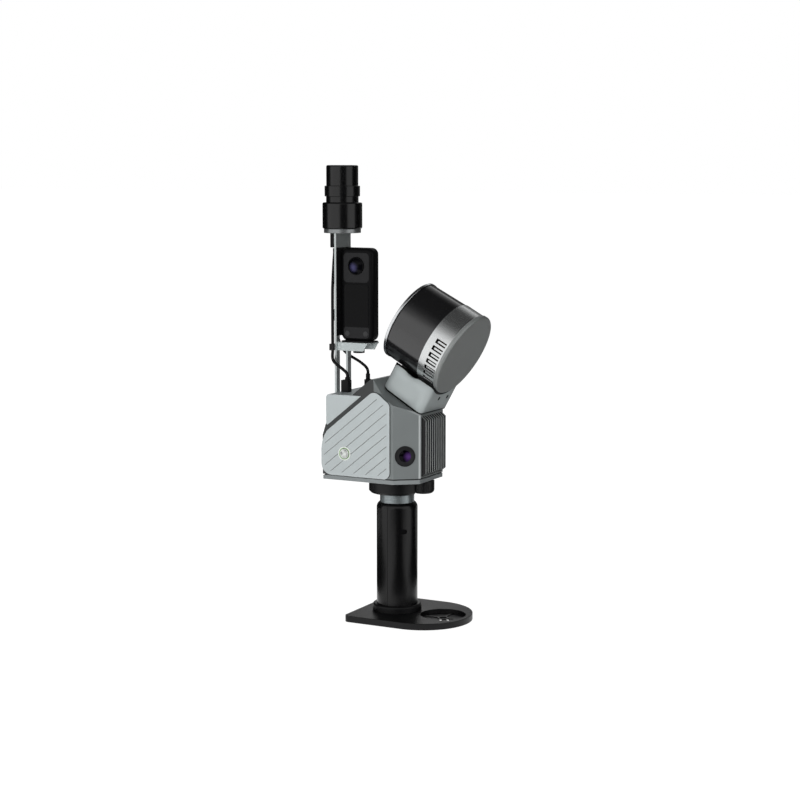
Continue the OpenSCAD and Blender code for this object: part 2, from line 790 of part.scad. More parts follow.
module main_shell() {
    lug_h = 8;
    lug_l = 14;
    color([0.52, 0.54, 0.54]) difference() {
        union() {
            difference() {
                body_space(0);
                difference() {
                    body_space(wall);
                    translate([-body_rear - cut, -body_w, z_body])
                        cube([cut + body_rear + mast_front + wall, 2 * body_w, 2 * ridge_h]);
                }
                translate([-body_rear - cut, -mast_w / 2 - slide_gap, z_body])
                    cube([body_rear + cut + mast_front, mast_w + 2 * slide_gap, 2 * ridge_h]);
            }
            for (s = [-1, 1], x = cover_screw_x)
                translate([x, s * (side_y - lug_l / 2 - cut), z_body + bottom_h + lug_h / 2])
                    cube([cover_lug_w, lug_l, lug_h], center = true);
        }
        cover_screw_places() cylinder(r = screw_r, h = bottom_h + lug_h - cut);
        mast_screw_places() translate([0, 0, -mast_t - mast_screw_l - cut])
            cylinder(r = screw_r, h = mast_t + mast_screw_l + 2 * cut);
        at_power_button() translate([0, 0, -panel_t - wall - cut])
            cylinder(r = switch_r + seat_gap, h = wall + 2 * cut);
        for (s = [-1, 1]) at_scan_camera(s) translate([0, 0, -wall - cut])
            cylinder(r = scan_lens_r + scan_tube, h = wall + 2 * cut);
        translate([body_front - wall - cut, -sink_w / 2, z_body + sink_low])
            cube([wall + 2 * cut, sink_w, sink_high - sink_low]);
        translate([passage_x, 0, z_body + roof_h - wall]) cylinder(r = passage_r, h = ridge_h);
    }
}

module bottom_cover() {
    floor_t = 3;
    seam_h = 1.4;
    seam_deep = 2;
    color([0.55, 0.57, 0.58]) difference() {
        union() {
            difference() {
                union() {
                    translate([0, 0, z_body]) linear_extrude(bottom_h - seam_h) body_plan(slide_gap);
                    translate([0, 0, z_body]) linear_extrude(bottom_h) body_plan(seam_deep);
                }
                translate([0, 0, z_body + floor_t]) linear_extrude(bottom_h) body_plan(2 * wall);
            }
            for (x = [board_x0 + post_inset, board_x1 - post_inset], s = [-1, 1])
                translate([x, s * (board_y - post_inset), z_body])
                    cylinder(r = post_r, h = board_z - z_body);
            translate([knob_x, 0, z_body]) cylinder(r = boss_r, h = stud_top + floor_t - z_body);
            coupling_screw_places() translate([0, 0, z_body]) cylinder(r = screw_head_r + 1, h = bottom_h);
            cover_screw_places() cylinder(r = screw_head_r + 2, h = bottom_h);
        }
        translate([knob_x, 0, z_body - cut])
            cylinder(r = stud_r + run_gap, h = stud_top - z_body + 2 * cut);
        coupling_screw_places() translate([0, 0, z_body - cut])
            cylinder(r = screw_r + seat_gap, h = cut + 2 * coupling_screw_bite);
        cover_screw_places() {
            translate([0, 0, -cut]) cylinder(r = screw_r + seat_gap, h = bottom_h + 2 * cut);
            translate([0, 0, -cut])
                cylinder(r = screw_head_r + seat_gap, h = cut + screw_head_h + cover_screw_sink);
        }
    }
}

module cover_screws() {
    color([0.5, 0.5, 0.52]) cover_screw_places() translate([0, 0, screw_head_h + cover_screw_sink])
        mirror([0, 0, 1])
        pan_screw(screw_r, screw_head_r, screw_head_h, bottom_h + cover_screw_bite);
}

// Side panel outline: X, the height above the body's bottom, and the corner's radius
panel_heel = 6.5;
panel_heel_drop = 9.5;
panel_front_m = 0.768;
panel_crest_x = (panel_top_z + panel_front_m * panel_edge_x - slope_z(0, 0)) / (slope_m + panel_front_m);
panel_points = [
    [panel_edge_x, panel_low, 8],
    [panel_edge_x, panel_top_z, 7],
    [panel_crest_x, slope_z(panel_crest_x, 0), 10],
    [-body_rear + panel_heel, slope_z(-body_rear + panel_heel, 0), 20],
    [-body_rear - panel_over, slope_h - panel_heel_drop, 40],
    [-body_rear - panel_over, panel_low, 14]
];
// Which way each corner moves to come inside the panel
panel_inward = [[-1, 1], [-1, -1], [-1, -1], [1, 0], [1, 0], [1, 1]];

// The grooves run along the rear slope and stop short of the panel's edges
module panel_grooves() {
    margin = 4;
    depth = (slope_z(panel_edge_x, 0) - panel_low) * cos(slope_angle);
    count = floor(depth / groove_pitch) - 1;
    intersection() {
        polygon(outline([for (i = [0 : len(panel_points) - 1])
            [panel_points[i][0] + margin * panel_inward[i][0],
                panel_points[i][1] + margin * panel_inward[i][1], panel_points[i][2] - margin / 2]]));
        for (i = [1 : count])
            translate([-body_rear, slope_h]) rotate(slope_angle)
                translate([-body_rear, -groove_pitch * i - groove_w / 2]) square([3 * body_rear, groove_w]);
    }
}

module side_panel(s) {
    translate([0, 0, z_body]) difference() {
        side_slab(min(s * side_y, s * body_w / 2), max(s * side_y, s * body_w / 2))
            polygon(outline(panel_points));
        side_slab(s * body_w / 2 - groove_depth, s * body_w / 2 + groove_depth) panel_grooves();
        if (s < 0)
            translate([0, 0, -z_body]) at_power_button() translate([0, 0, -panel_t - cut])
                cylinder(r = switch_r + seat_gap, h = panel_t + 2 * cut);
    }
}

module side_panel_right() {
    color([0.73, 0.76, 0.76]) side_panel(-1);
}

module side_panel_left() {
    color([0.73, 0.76, 0.76]) side_panel(1);
}

module front_heat_sink() {
    pitch = (sink_w - sink_edge) / rib_count;
    low = z_body + sink_low + sink_edge;
    high = z_body + sink_high - sink_edge;
    color([0.35, 0.36, 0.36]) {
        translate([body_front - sink_t, -sink_w / 2 + seat_gap, z_body + sink_low + seat_gap])
            cube([sink_t, sink_w - 2 * seat_gap, sink_high - sink_low - 2 * seat_gap]);
        for (i = [0 : rib_count - 1]) {
            y = (i - (rib_count - 1) / 2) * pitch;
            side_slab(y - rib_w / 2, y + rib_w / 2) polygon([
                [body_front - seat_gap, low], [body_front + rib_depth, low + rib_taper],
                [body_front + rib_depth, high - rib_taper], [body_front - seat_gap, high]
            ]);
        }
    }
}

module power_switch_body() {
    proud = 0.8;
    depth = 16;
    cap = power_travel + power_cap;
    color([0.75, 0.85, 0.75]) at_power_button() difference() {
        translate([0, 0, -depth]) cylinder(r = switch_r, h = depth + proud);
        translate([0, 0, -cap - slide_gap])
            cylinder(r = power_button_r + slide_gap, h = cap + slide_gap + proud + cut);
    }
}

module power_button() {
    color([0.75, 0.76, 0.77]) at_power_button()
        translate([0, 0, -power_cap])
            cylinder(r = power_button_r, h = power_cap + power_travel + slide_gap);
}

module lens_bezels() {
    proud = 1.6;
    color([0.12, 0.12, 0.13]) for (s = [-1, 1]) at_scan_camera(s) difference() {
        union() {
            cylinder(r = bezel_r, h = proud);
            translate([0, 0, -wall]) cylinder(r = scan_lens_r + scan_tube - seat_gap, h = wall + proud);
        }
        translate([0, 0, -wall - cut]) cylinder(r = scan_lens_r, h = wall + proud + 2 * cut);
    }
}

module scan_lenses() {
    dome_r = 12;
    seat = 1.2;
    color([0.25, 0.15, 0.4]) for (s = [-1, 1]) at_scan_camera(s) intersection() {
        translate([0, 0, -wall]) cylinder(r = scan_lens_r - seat_gap, h = wall + seat);
        translate([0, 0, seat - dome_r]) sphere(dome_r);
    }
}

module camera_modules() {
    w = 18;
    d = 12;
    color([0.08, 0.25, 0.15]) for (s = [-1, 1]) at_scan_camera(s)
        translate([-w / 2, -w / 2, -wall - d]) cube([w, w, d]);
}

module main_circuit_board() {
    color([0.05, 0.3, 0.15]) translate([board_x0, -board_y, board_z])
        cube([board_x1 - board_x0, 2 * board_y, board_t]);
}

module motion_sensor() {
    color([0.6, 0.6, 0.62])
        translate([(board_x0 + board_x1 - sensor_size[0]) / 2, -sensor_size[1] / 2, board_z + board_t])
        cube(sensor_size);
}

module compute_module() {
    mid = z_body + (sink_low + sink_high) / 2;
    color([0.2, 0.2, 0.22])
        translate([body_front - sink_t - compute_size[0], -compute_size[1] / 2, mid - compute_size[2] / 2])
        cube(compute_size);
}

// Rear module: a wedge over the rear slope with a flat top for the plugs
wedge_d = 6;
wedge_points = [
    [-module_rear, slope_z(-module_rear, wedge_d), 1.5],
    [-module_rear, deck_h, 4],
    [(deck_h - slope_z(0, wedge_d)) / slope_m, deck_h, 0]
];
module rear_module_housing() {
    pad_side = 4;
    pad_w = mast_w - 2 * pad_side;
    pad_h = 22;
    pad_drop = 28;
    reach = 50;
    color([0.73, 0.76, 0.76]) difference() {
        translate([0, 0, z_body]) difference() {
            union() {
                side_slab(-module_w / 2, module_w / 2) polygon(outline(wedge_points));
                translate([mast_front, -pad_w / 2, deck_h - pad_drop])
                    cube([-mast_front - module_rear + cut, pad_w, pad_h]);
            }
            side_slab(-module_w / 2 + wall, module_w / 2 - wall) polygon([
                [-module_rear + wall, deck_h - reach], [-module_rear + wall, deck_h - wall],
                [-module_rear + reach, deck_h - wall], [-module_rear + reach, deck_h - reach]
            ]);
        }
        body_space(-seat_gap);
    }
}

module positioning_board() {
    side = 9;
    gap = 3.5;
    y = module_w / 2 - wall - side;
    low = slope_z(-module_rear + wall + board_t, bevel_rise) + gap;
    color([0.05, 0.3, 0.15]) translate([-module_rear + wall, -y, z_body + low])
        cube([board_t, 2 * y, deck_h - wall - low]);
}

// Neck and lidar share a frame at the front disc: X along the axis, Z away from the body
module lidar_frame() {
    translate([lidar_x, 0, z_body + lidar_h]) rotate([0, lidar_tilt, 0]) children();
}

// Turns Z along the lidar's axis. The front disc faces along +Z, and the body's side is +X.
module lidar_axial() {
    lidar_frame() rotate([0, 90, 0]) children();
}

module neck_prism(inset) {
    y = neck_w / 2 - inset;
    translate([0, 0, -neck_top - neck_deep]) linear_extrude(neck_deep) polygon(outline([
        [-neck_front - inset, -y, neck_front_r - inset], [-neck_front - inset, y, neck_front_r - inset],
        [-neck_front - neck_l + inset, y, neck_rear_r - inset],
        [-neck_front - neck_l + inset, -y, neck_rear_r - inset]
    ]));
}

// The space under the front roof's plane, raised by a gap and carried on past the body's front
module under_roof(gap) {
    reach = 60;
    translate([0, 0, z_body]) side_slab(-neck_w, neck_w) polygon([
        [0, 0], [0, roof_z(0, neck_w / 2, -gap)],
        [body_front + reach, roof_z(body_front + reach, neck_w / 2, -gap)], [body_front + reach, 0]
    ]);
}

module neck_screw_places() {
    for (y = [-1, 1]) translate([-neck_front, neck_screw_y + y * neck_screw_pitch / 2, -neck_screw_drop])
        rotate([0, 90, 0]) children();
}

module neck_housing() {
    notch_r = 12.8;
    notch_back = 36;
    notch_rise = 8.5;
    bevel = 4.7;
    bevel_t = 3;
    neck_hollow = neck_deep + neck_top - band_r - neck_wall;
    color([0.7, 0.73, 0.73]) difference() {
        union() {
            difference() {
                lidar_frame() neck_prism(0);
                body_space(-neck_seam);
                under_roof(neck_seam);
            }
            difference() {
                lidar_frame() translate([0, 0, -neck_wall]) neck_prism(neck_inset);
                body_space(-seat_gap);
                under_roof(seat_gap);
            }
        }
        lidar_axial() translate([0, 0, -neck_front - neck_l - cut])
            cylinder(r = band_r + saddle_gap, h = neck_l + cut);
        lidar_axial() translate([0, 0, -disc_t - saddle_gap])
            cylinder(r = disc_r + saddle_gap, h = 2 * disc_t);
        lidar_frame() {
            translate([-notch_back, 0, -neck_top + notch_rise]) {
                rotate([90, 0, 0]) cylinder(r = notch_r, h = neck_w + 2 * cut, center = true);
                for (a = [-90, 90]) rotate([a, 0, 0]) translate([0, 0, neck_w / 2 - bevel_t])
                    cylinder(r1 = notch_r, r2 = notch_r + bevel, h = bevel_t + skin);
            }
            translate([-neck_front - neck_l + neck_wall, -neck_w / 2 + neck_wall, -neck_top - neck_deep])
                cube([neck_l - 3 * neck_wall, neck_w - 2 * neck_wall, neck_hollow]);
            neck_screw_places() {
                translate([0, 0, -screw_head_h - neck_screw_l - cut])
                    cylinder(r = screw_r, h = neck_screw_l + 2 * cut);
                translate([0, 0, -screw_head_h - neck_screw_sink])
                    cylinder(r = screw_head_r + seat_gap, h = screw_head_h + neck_screw_sink + cut);
            }
        }
    }
}

module neck_screws() {
    color([0.1, 0.1, 0.1]) lidar_frame() neck_screw_places()
        translate([0, 0, -screw_head_h - neck_screw_sink])
        pan_screw(screw_r - seat_gap, screw_head_r, screw_head_h, neck_screw_l);
}

module lidar_front_disc() {
    edge_r = 2.5;
    color([0.42, 0.43, 0.42]) lidar_axial() translate([0, 0, -disc_t]) rotate_extrude() {
        square([disc_r, disc_t - edge_r]);
        square([disc_r - edge_r, disc_t]);
        translate([disc_r - edge_r, disc_t - edge_r]) circle(edge_r);
    }
}

// Vents start above the side and step down towards the neck, alike on both sides
vent_start = -15;
vent_w = 5.6;
vent_l = 14;
vent_edge = 2.5;
tongue_w = 2.4;
tongue_sunk = 0.45;
module vent_places() {
    for (i = [0 : vent_count - 1], s = [-1, 1])
        rotate(s * (90 - vent_start - vent_step * i))
            translate([band_r - band_wall / 2, 0, -disc_t - vent_edge]) children();
}

module lidar_base_housing() {
    color([0.75, 0.76, 0.76]) lidar_axial() difference() {
        translate([0, 0, -band_l]) cylinder(r = band_r, h = band_l - disc_t);
        translate([0, 0, -band_l - cut])
            cylinder(r = band_r - band_wall, h = cut + band_l - disc_t - bulkhead_t);
        vent_places() difference() {
            translate([-band_wall, -vent_w / 2, -vent_l]) cube([2 * band_wall, vent_w, vent_l]);
            translate([-band_wall, -tongue_w / 2, -vent_l + vent_edge])
                cube([1.5 * band_wall - tongue_sunk, tongue_w, vent_l]);
        }
        translate([0, 0, -disc_t - bulkhead_t - cut])
            cylinder(r = shaft_r + seat_gap, h = bulkhead_t + 2 * cut);
    }
}

module lidar_window() {
    glass = 2.5;
    color([0.1, 0.1, 0.11]) lidar_axial() translate([0, 0, -band_l - window_l]) difference() {
        cylinder(r1 = window_end_r, r2 = band_r - window_step, h = window_l);
        translate([0, 0, -cut])
            cylinder(r1 = window_end_r - glass, r2 = band_r - window_step - glass, h = window_l + 2 * cut);
    }
}

module lidar_rear_cap() {
    color([0.8, 0.81, 0.82]) lidar_axial() translate([0, 0, -band_l - window_l - cap_t])
        cylinder(r = window_end_r + cap_lip, h = cap_t);
}

module lidar_shaft() {
    color([0.7, 0.7, 0.72]) lidar_axial() translate([0, 0, -band_l - window_l])
        cylinder(r = shaft_r, h = band_l + window_l - disc_t);
}

rotor_back = -band_l - window_l + rotor_gap;
rotor_front = -band_l - rotor_clear;
bearing_in = 2;
turret_d = 32;
module lidar_bearings() {
    color([0.6, 0.6, 0.62]) lidar_axial()
        for (z = [rotor_back + bearing_in, rotor_front - bearing_in - bearing_l])
        translate([0, 0, z]) difference() {
            cylinder(r = bearing_r, h = bearing_l);
            translate([0, 0, -cut]) cylinder(r = shaft_r + run_gap / 2, h = bearing_l + 2 * cut);
        }
}

stator_r = 20;
stator_gap = 3;
module lidar_motor() {
    color([0.55, 0.35, 0.15]) lidar_axial() translate([0, 0, -band_l + stator_gap]) difference() {
        cylinder(r = stator_r, h = band_l - disc_t - bulkhead_t - stator_gap);
        translate([0, 0, -cut]) cylinder(r = shaft_r + run_gap / 2, h = band_l);
    }
}

optic_r = 12;
optic_x = 19;
optic_l = 9;
optic_seat = 8;
module rotor_optic_places() {
    for (s = [-1, 1]) translate([s * optic_x, 0, (rotor_back + rotor_front) / 2]) rotate([90, 0, 0])
        children();
}

module lidar_rotor() {
    turret_w = 72;
    plate_r = 43;
    plate_t = 4;
    color([0.2, 0.2, 0.22]) lidar_axial() difference() {
        union() {
            translate([0, 0, rotor_front - plate_t]) cylinder(r = plate_r, h = plate_t);
            translate([-turret_w / 2, -turret_d / 2, rotor_back])
                cube([turret_w, turret_d, rotor_front - rotor_back - plate_t / 2]);
        }
        translate([0, 0, rotor_back - cut])
            cylinder(r = bearing_r + run_gap, h = rotor_front - rotor_back + 2 * cut);
        rotor_optic_places() translate([0, 0, turret_d / 2 - optic_seat])
            cylinder(r = optic_r + seat_gap, h = optic_l);
    }
}

module lidar_optics() {
    color([0.2, 0.1, 0.25]) lidar_axial() rotor_optic_places()
        translate([0, 0, turret_d / 2 - optic_seat + seat_gap]) cylinder(r = optic_r, h = optic_l);
}

// Mast: one sheet with a long window between two legs
module mast_plate() {
    window_top = z_mast_top - mast_cross;
    window_low = z_deck - mast_foot;
    window_r = 4;
    color([0.6, 0.62, 0.62]) difference() {
        translate([mast_back, -mast_w / 2, z_body + mast_low])
            cube([mast_t, mast_w, z_mast_top - z_body - mast_low]);
        translate([mast_back - cut, 0, (window_top + window_low) / 2]) rotate([90, 0, 90])
            linear_extrude(mast_t + 2 * cut) round_rect(mast_window_w, window_top - window_low, window_r);
        mast_screw_places() translate([0, 0, -mast_t - cut])
            cylinder(r = screw_r + seat_gap, h = mast_t + 2 * cut);
        tray_screw_places() translate([0, 0, -mast_t - cut])
            cylinder(r = screw_r + seat_gap, h = mast_t + 2 * cut);
    }
}

module tray_screw_places() {
    for (y = [-1, 1]) translate([mast_back, y * tray_screw_y, z_tray - tray_h / 2])
        rotate([0, -90, 0]) children();
}

module mast_screws() {
    color([0.3, 0.3, 0.31]) {
        mast_screw_places() pan_screw(screw_r - seat_gap, screw_head_r, mast_head_h, mast_t + mast_screw_l);
        tray_screw_places() pan_screw(screw_r - seat_gap, screw_head_r, mast_head_h, mast_t + tray_t);
    }
}

// Antenna on the mast's top: its flange has a lug behind the sheet
module antenna_flange() {
    lug_t = 5;
    lug_y = 4;
    lug_w = 12;
    lug_h = 14;
    color([0.72, 0.73, 0.74]) {
        translate([mast_mid, 0, z_mast_top]) cylinder(r = flange_disc_r, h = flange_disc_h);
        translate([mast_back - lug_t, lug_y, z_mast_top - lug_h]) cube([lug_t, lug_w, lug_h + cut]);
    }
}

module antenna_base() {
    edge_r = 2;
    lip = 0.3;
    groove_r = radome_r + lip;
    color([0.1, 0.1, 0.11]) translate([mast_mid, 0, z_antenna]) rotate_extrude() {
        translate([0, edge_r]) square([antenna_r, antenna_base_h - 2 * edge_r]);
        square([antenna_r - edge_r, antenna_base_h]);
        for (z = [edge_r, antenna_base_h - edge_r]) intersection() {
            translate([antenna_r - edge_r, z]) circle(edge_r);
            square([antenna_r, antenna_base_h]);
        }
        square([groove_r, antenna_base_h + antenna_groove_h]);
    }
}

module antenna_radome() {
    edge_r = 2;
    wall_t = 2;
    ring_step = 2.1;
    ring_r = radome_r + ring_step;
    h = antenna_ring_h + radome_h;
    color([0.1, 0.1, 0.11]) translate([mast_mid, 0, z_antenna + antenna_base_h + antenna_groove_h])
        rotate_extrude() difference() {
            union() {
                square([ring_r, antenna_ring_h]);
                square([radome_r, h - edge_r]);
                square([radome_r - edge_r, h]);
                intersection() {
                    translate([radome_r - edge_r, h - edge_r]) circle(edge_r);
                    square([radome_r, h]);
                }
            }
            translate([0, -cut]) square([radome_r - wall_t, h + cut - wall_t]);
        }
}

module antenna_connector() {
    body_r = 5;
    color([0.12, 0.12, 0.13]) translate([connector_x, 0, z_mast_top - connector_h])
        cylinder(r = body_r, h = connector_h);
}

module antenna_cable() {
    color([0.06, 0.06, 0.06]) translate([0, 0, z_deck]) swept_tube(antenna_route, antenna_cable_d);
}

module antenna_plug() {
    plug_l = 11;
    plug_w = 9;
    plug_h = 14.6;
    relief_r = 3;
    corner_r = 1.5;
    offset_x = 1.6;
    color([0.1, 0.1, 0.1]) translate([antenna_end[0] - offset_x, antenna_end[1], z_deck]) {
        linear_extrude(plug_h) round_rect(plug_l, plug_w, corner_r);
        translate([offset_x, 0, plug_h - cut]) cylinder(r = relief_r, h = antenna_end[2] - plug_h + cut);
    }
}

module cable_clip() {
    clip_h = 8;
    grip = 1.1;
    bore = antenna_cable_d / 2 + seat_gap;
    mid = antenna_route[11];
    color([0.12, 0.12, 0.12]) translate([0, mid[1], z_deck + mid[2] + cut]) difference() {
        translate([mid[0] - bore - grip, -bore - grip, 0])
            cube([mast_back - mid[0] + bore + grip, 2 * (bore + grip), clip_h]);
        translate([mid[0], 0, -cut]) cylinder(r = bore, h = clip_h + 2 * cut);
    }
}

// Panoramic camera on a folded tray, held by a thumb screw from below
module camera_tray() {
    slant = 5.6;
    x0 = mast_front;
    x1 = mast_front + tray_l;
    color([0.7, 0.73, 0.73]) difference() {
        union() {
            translate([x0, -tray_w / 2, z_tray - tray_t]) cube([tray_l, tray_w, tray_t]);
            for (y = [-tray_w / 2, tray_w / 2 - tray_t]) side_slab(y, y + tray_t) polygon([
                [x0, z_tray], [x0, z_tray - tray_h], [x1 - slant, z_tray - tray_h], [x1, z_tray]
            ]);
            translate([x0, -tray_w / 2, z_tray - tray_h]) cube([tray_t, tray_w, tray_h]);
        }
        translate([pano_screw_x, 0, z_tray - tray_t - cut])
            cylinder(r = pano_screw_r + slide_gap, h = tray_t + 2 * cut);
        tray_screw_places() translate([0, 0, -mast_t - tray_t - cut])
            cylinder(r = screw_r, h = tray_t + mast_t + cut);
    }
}

// One pad lies under the camera, the other fills the way back to the mast and lets the cable's elbow through
module camera_pad() {
    rest_low = 6;
    color([0.08, 0.08, 0.08]) {
        difference() {
            translate([mast_front + tray_t, -pano_d / 2, z_tray])
                cube([tray_l - tray_t + pad_over, pano_d, pad_t]);
            translate([pano_screw_x, 0, z_tray - cut])
                cylinder(r = pano_screw_r + slide_gap, h = pad_t + 2 * cut);
        }
        difference() {
            translate([mast_front, -mast_w / 2, z_pano + rest_low])
                cube([pano_clear, mast_w, pano_h - rest_low]);
            translate([mast_front - cut, camera_end[1] - elbow_w / 2 - seat_gap,
                z_deck + camera_end[2] - seat_gap])
                cube([pano_clear + 2 * cut, elbow_w + 2 * seat_gap, elbow_h + 2 * seat_gap]);
        }
    }
}

module camera_screw() {
    head_r = 7;
    head_h = 11;
    flutes = 16;
    flute_r = 0.8;
    top = z_tray - tray_t - slide_gap;
    color([0.1, 0.1, 0.1]) translate([pano_screw_x, 0, 0]) difference() {
        union() {
            translate([0, 0, top - head_h]) cylinder(r = head_r, h = head_h);
            translate([0, 0, top - cut])
                cylinder(r = pano_screw_r, h = cut + slide_gap + tray_t + pad_t + pano_screw_bite);
        }
        for (i = [0 : flutes - 1])
            rotate(360 * i / flutes) translate([head_r + flute_r / 3, 0, top - head_h - cut])
                cylinder(r = flute_r, h = head_h);
    }
}

// Carries its children to the camera's right face, looking out along Z
module at_pano_face(x, z) {
    translate([x, -pano_d / 2, z_pano + z]) rotate([90, 0, 0]) children();
}

module camera_body() {
    screw_depth = pano_screw_bite + 2;
    color([0.11, 0.11, 0.12]) difference() {
        intersection() {
            translate([pano_mid, 0, z_pano + pano_h / 2]) rotate([90, 0, 0]) translate([0, 0, -pano_d / 2])
                linear_extrude(pano_d) round_rect(pano_w, pano_h, pano_corner_r);
            translate([pano_mid, 0, z_pano]) linear_extrude(pano_h) round_rect(pano_w, pano_d, pano_edge_r);
        }
        translate([pano_screw_x, 0, z_pano - cut])
            cylinder(r = pano_screw_r + run_gap, h = screw_depth + cut);
        for (s = [-1, 1]) at_pano_face(pano_mid + s * pano_button_dx, pano_button_z)
            translate([0, 0, -pano_button_deep])
                cylinder(r = pano_button_r + slide_gap, h = pano_button_deep + cut);
    }
}

module camera_screen() {
    glass = 0.5;
    corner_r = 2.5;
    color([0.05, 0.05, 0.06]) at_pano_face(pano_mid, screen_low + screen_h / 2)
        linear_extrude(glass) round_rect(screen_w, screen_h, corner_r);
}

module camera_lenses() {
    ring_h = 1.6;
    dome_r = 13;
    dome_h = 5.2;
    lens_r = pano_lens_r - ring_h;
    color([0.06, 0.05, 0.1]) for (s = [0, 1]) mirror([0, s, 0]) at_pano_face(pano_mid, pano_lens_z) {
        cylinder(r = pano_lens_r, h = ring_h);
        intersection() {
            cylinder(r = lens_r, h = dome_h);
            translate([0, 0, dome_h - dome_r]) sphere(dome_r);
        }
    }
}

module pano_button(s) {
    proud = 0.5;
    at_pano_face(pano_mid + s * pano_button_dx, pano_button_z)
        translate([0, 0, -pano_button_deep + pano_button_travel + seat_gap])
        cylinder(r = pano_button_r, h = pano_button_deep - pano_button_travel - seat_gap + proud);
}

module camera_shutter_button() {
    color([0.2, 0.2, 0.2]) pano_button(-1);
}

module camera_mode_button() {
    color([0.2, 0.2, 0.2]) pano_button(1);
}

module camera_cable() {
    color([0.06, 0.06, 0.06]) translate([0, 0, z_deck]) swept_tube(camera_route, camera_cable_d);
}

// One plug stands on the rear module, the other goes through the mast's window into the camera
module camera_cable_plugs() {
    plug_l = 7;
    plug_w = 8;
    plug_h = 11;
    relief_r = 2.7;
    elbow_back = 3;
    corner_r = 1.2;
    color([0.08, 0.08, 0.08]) translate([0, 0, z_deck]) {
        translate([camera_start[0], camera_start[1], 0]) {
            linear_extrude(plug_h) round_rect(plug_l, plug_w, corner_r);
            translate([0, 0, plug_h - cut]) cylinder(r = relief_r, h = camera_start[2] - plug_h + cut);
        }
        translate([camera_end[0] - elbow_back, camera_end[1] - elbow_w / 2, camera_end[2]])
            cube([pano_x0 - camera_end[0] + elbow_back, elbow_w, elbow_h]);
    }
}

base_plate();
sighting_reticle();
base_screws();
grip_foot_flange();
grip_front_shell();
grip_rear_shell();
grip_button();
grip_switch_board();
battery_cells();
battery_holders();
grip_collar();
coupling_block();
coupling_knob();
coupling_screws();
bottom_cover();
cover_screws();
main_shell();
side_panel_right();
side_panel_left();
front_heat_sink();
power_button();
power_switch_body();
lens_bezels();
scan_lenses();
camera_modules();
main_circuit_board();
compute_module();
motion_sensor();
rear_module_housing();
positioning_board();
neck_housing();
neck_screws();
lidar_front_disc();
lidar_base_housing();
lidar_window();
lidar_rear_cap();
lidar_rotor();
lidar_optics();
lidar_shaft();
lidar_bearings();
lidar_motor();
mast_plate();
mast_screws();
antenna_flange();
antenna_base();
antenna_radome();
antenna_connector();
antenna_cable();
antenna_plug();
cable_clip();
camera_tray();
camera_pad();
camera_screw();
camera_body();
camera_screen();
camera_lenses();
camera_shutter_button();
camera_mode_button();
camera_cable();
camera_cable_plugs();
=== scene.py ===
# %% [markdown]
# # Dressing a handheld mapping scanner
#
# The scanner is a spinning lidar on a tilted neck. It sits on a grey body with two cameras and a ribbed
# front, over a battery grip on a base plate. A mast behind it carries an antenna and a stick camera.
#
# The CAD model comes first and never moves. This lesson puts finishes on it, rounds its edges and swaps
# the few pieces whose plain solids are too simple: the lenses, the stick camera's case, the lidar's rear
# rim, the push button and the cables.

# %% The CAD frame
import math

import bmesh
import bpy
import numpy as np
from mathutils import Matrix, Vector


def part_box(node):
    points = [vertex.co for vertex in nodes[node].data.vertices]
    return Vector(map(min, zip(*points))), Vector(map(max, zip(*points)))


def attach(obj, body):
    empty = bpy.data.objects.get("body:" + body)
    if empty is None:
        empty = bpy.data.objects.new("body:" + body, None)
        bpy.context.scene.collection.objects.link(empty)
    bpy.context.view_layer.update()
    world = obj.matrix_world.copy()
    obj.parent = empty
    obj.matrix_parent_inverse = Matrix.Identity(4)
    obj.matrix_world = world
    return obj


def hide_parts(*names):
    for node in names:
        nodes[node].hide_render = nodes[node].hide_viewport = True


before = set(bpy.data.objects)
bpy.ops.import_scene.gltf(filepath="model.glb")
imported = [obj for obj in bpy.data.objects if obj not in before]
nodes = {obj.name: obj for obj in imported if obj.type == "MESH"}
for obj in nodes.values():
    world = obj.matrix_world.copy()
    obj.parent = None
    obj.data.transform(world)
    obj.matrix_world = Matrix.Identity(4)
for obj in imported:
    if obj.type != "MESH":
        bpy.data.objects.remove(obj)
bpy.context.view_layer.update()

scene = bpy.context.scene
MM = 0.001

# %% [markdown]
# ## Camera
#
# The picture was taken from the right and a little ahead, from the height of the antenna's top. A long
# lens far away keeps the upright edges nearly parallel. The place was worked out from the base plate, the
# grip and the panel's edges, so the camera is set directly and needs no shift.

# %% Camera at the photograph's view
CAMERA_PLACE = (1.0389, -1.9630, 0.5523)
CAMERA_TURN = 27.8
CAMERA_DROP = 7.31
LENS_MM = 82.85
camera_data = bpy.data.cameras.new("studio_camera")
camera_data.lens = LENS_MM
camera_data.sensor_width = 36.0
camera = bpy.data.objects.new("studio_camera", camera_data)
camera.location = CAMERA_PLACE
camera.rotation_euler = (math.radians(90 - CAMERA_DROP), 0.0, math.radians(CAMERA_TURN))
scene.collection.objects.link(camera)
scene.camera = camera
scene.view_settings.view_transform = "Standard"
print(f"camera: {LENS_MM} mm lens at {CAMERA_PLACE}")

# %% [markdown]
# ## Grids of points
#
# A turned part, such as a lens ring or a button's cap, is a profile carried round an axis. A moulded box is
# an outline carried along its depth. Both are grids of points with rows and columns, so numpy works out
# all points at once, and one table of quads joins them.

# %% Surfaces worked out with numpy
def grid_quads(rows, columns):
    """Quads between neighbouring rows; the last column joins the first, so the seam is closed."""
    row = np.arange(rows - 1)[:, None]
    column = np.arange(columns)[None, :]
    after = (column + 1) % columns
    quads = [row * columns + column, row * columns + after,
             (row + 1) * columns + after, (row + 1) * columns + column]
    return np.stack(quads, -1).reshape(-1, 4)


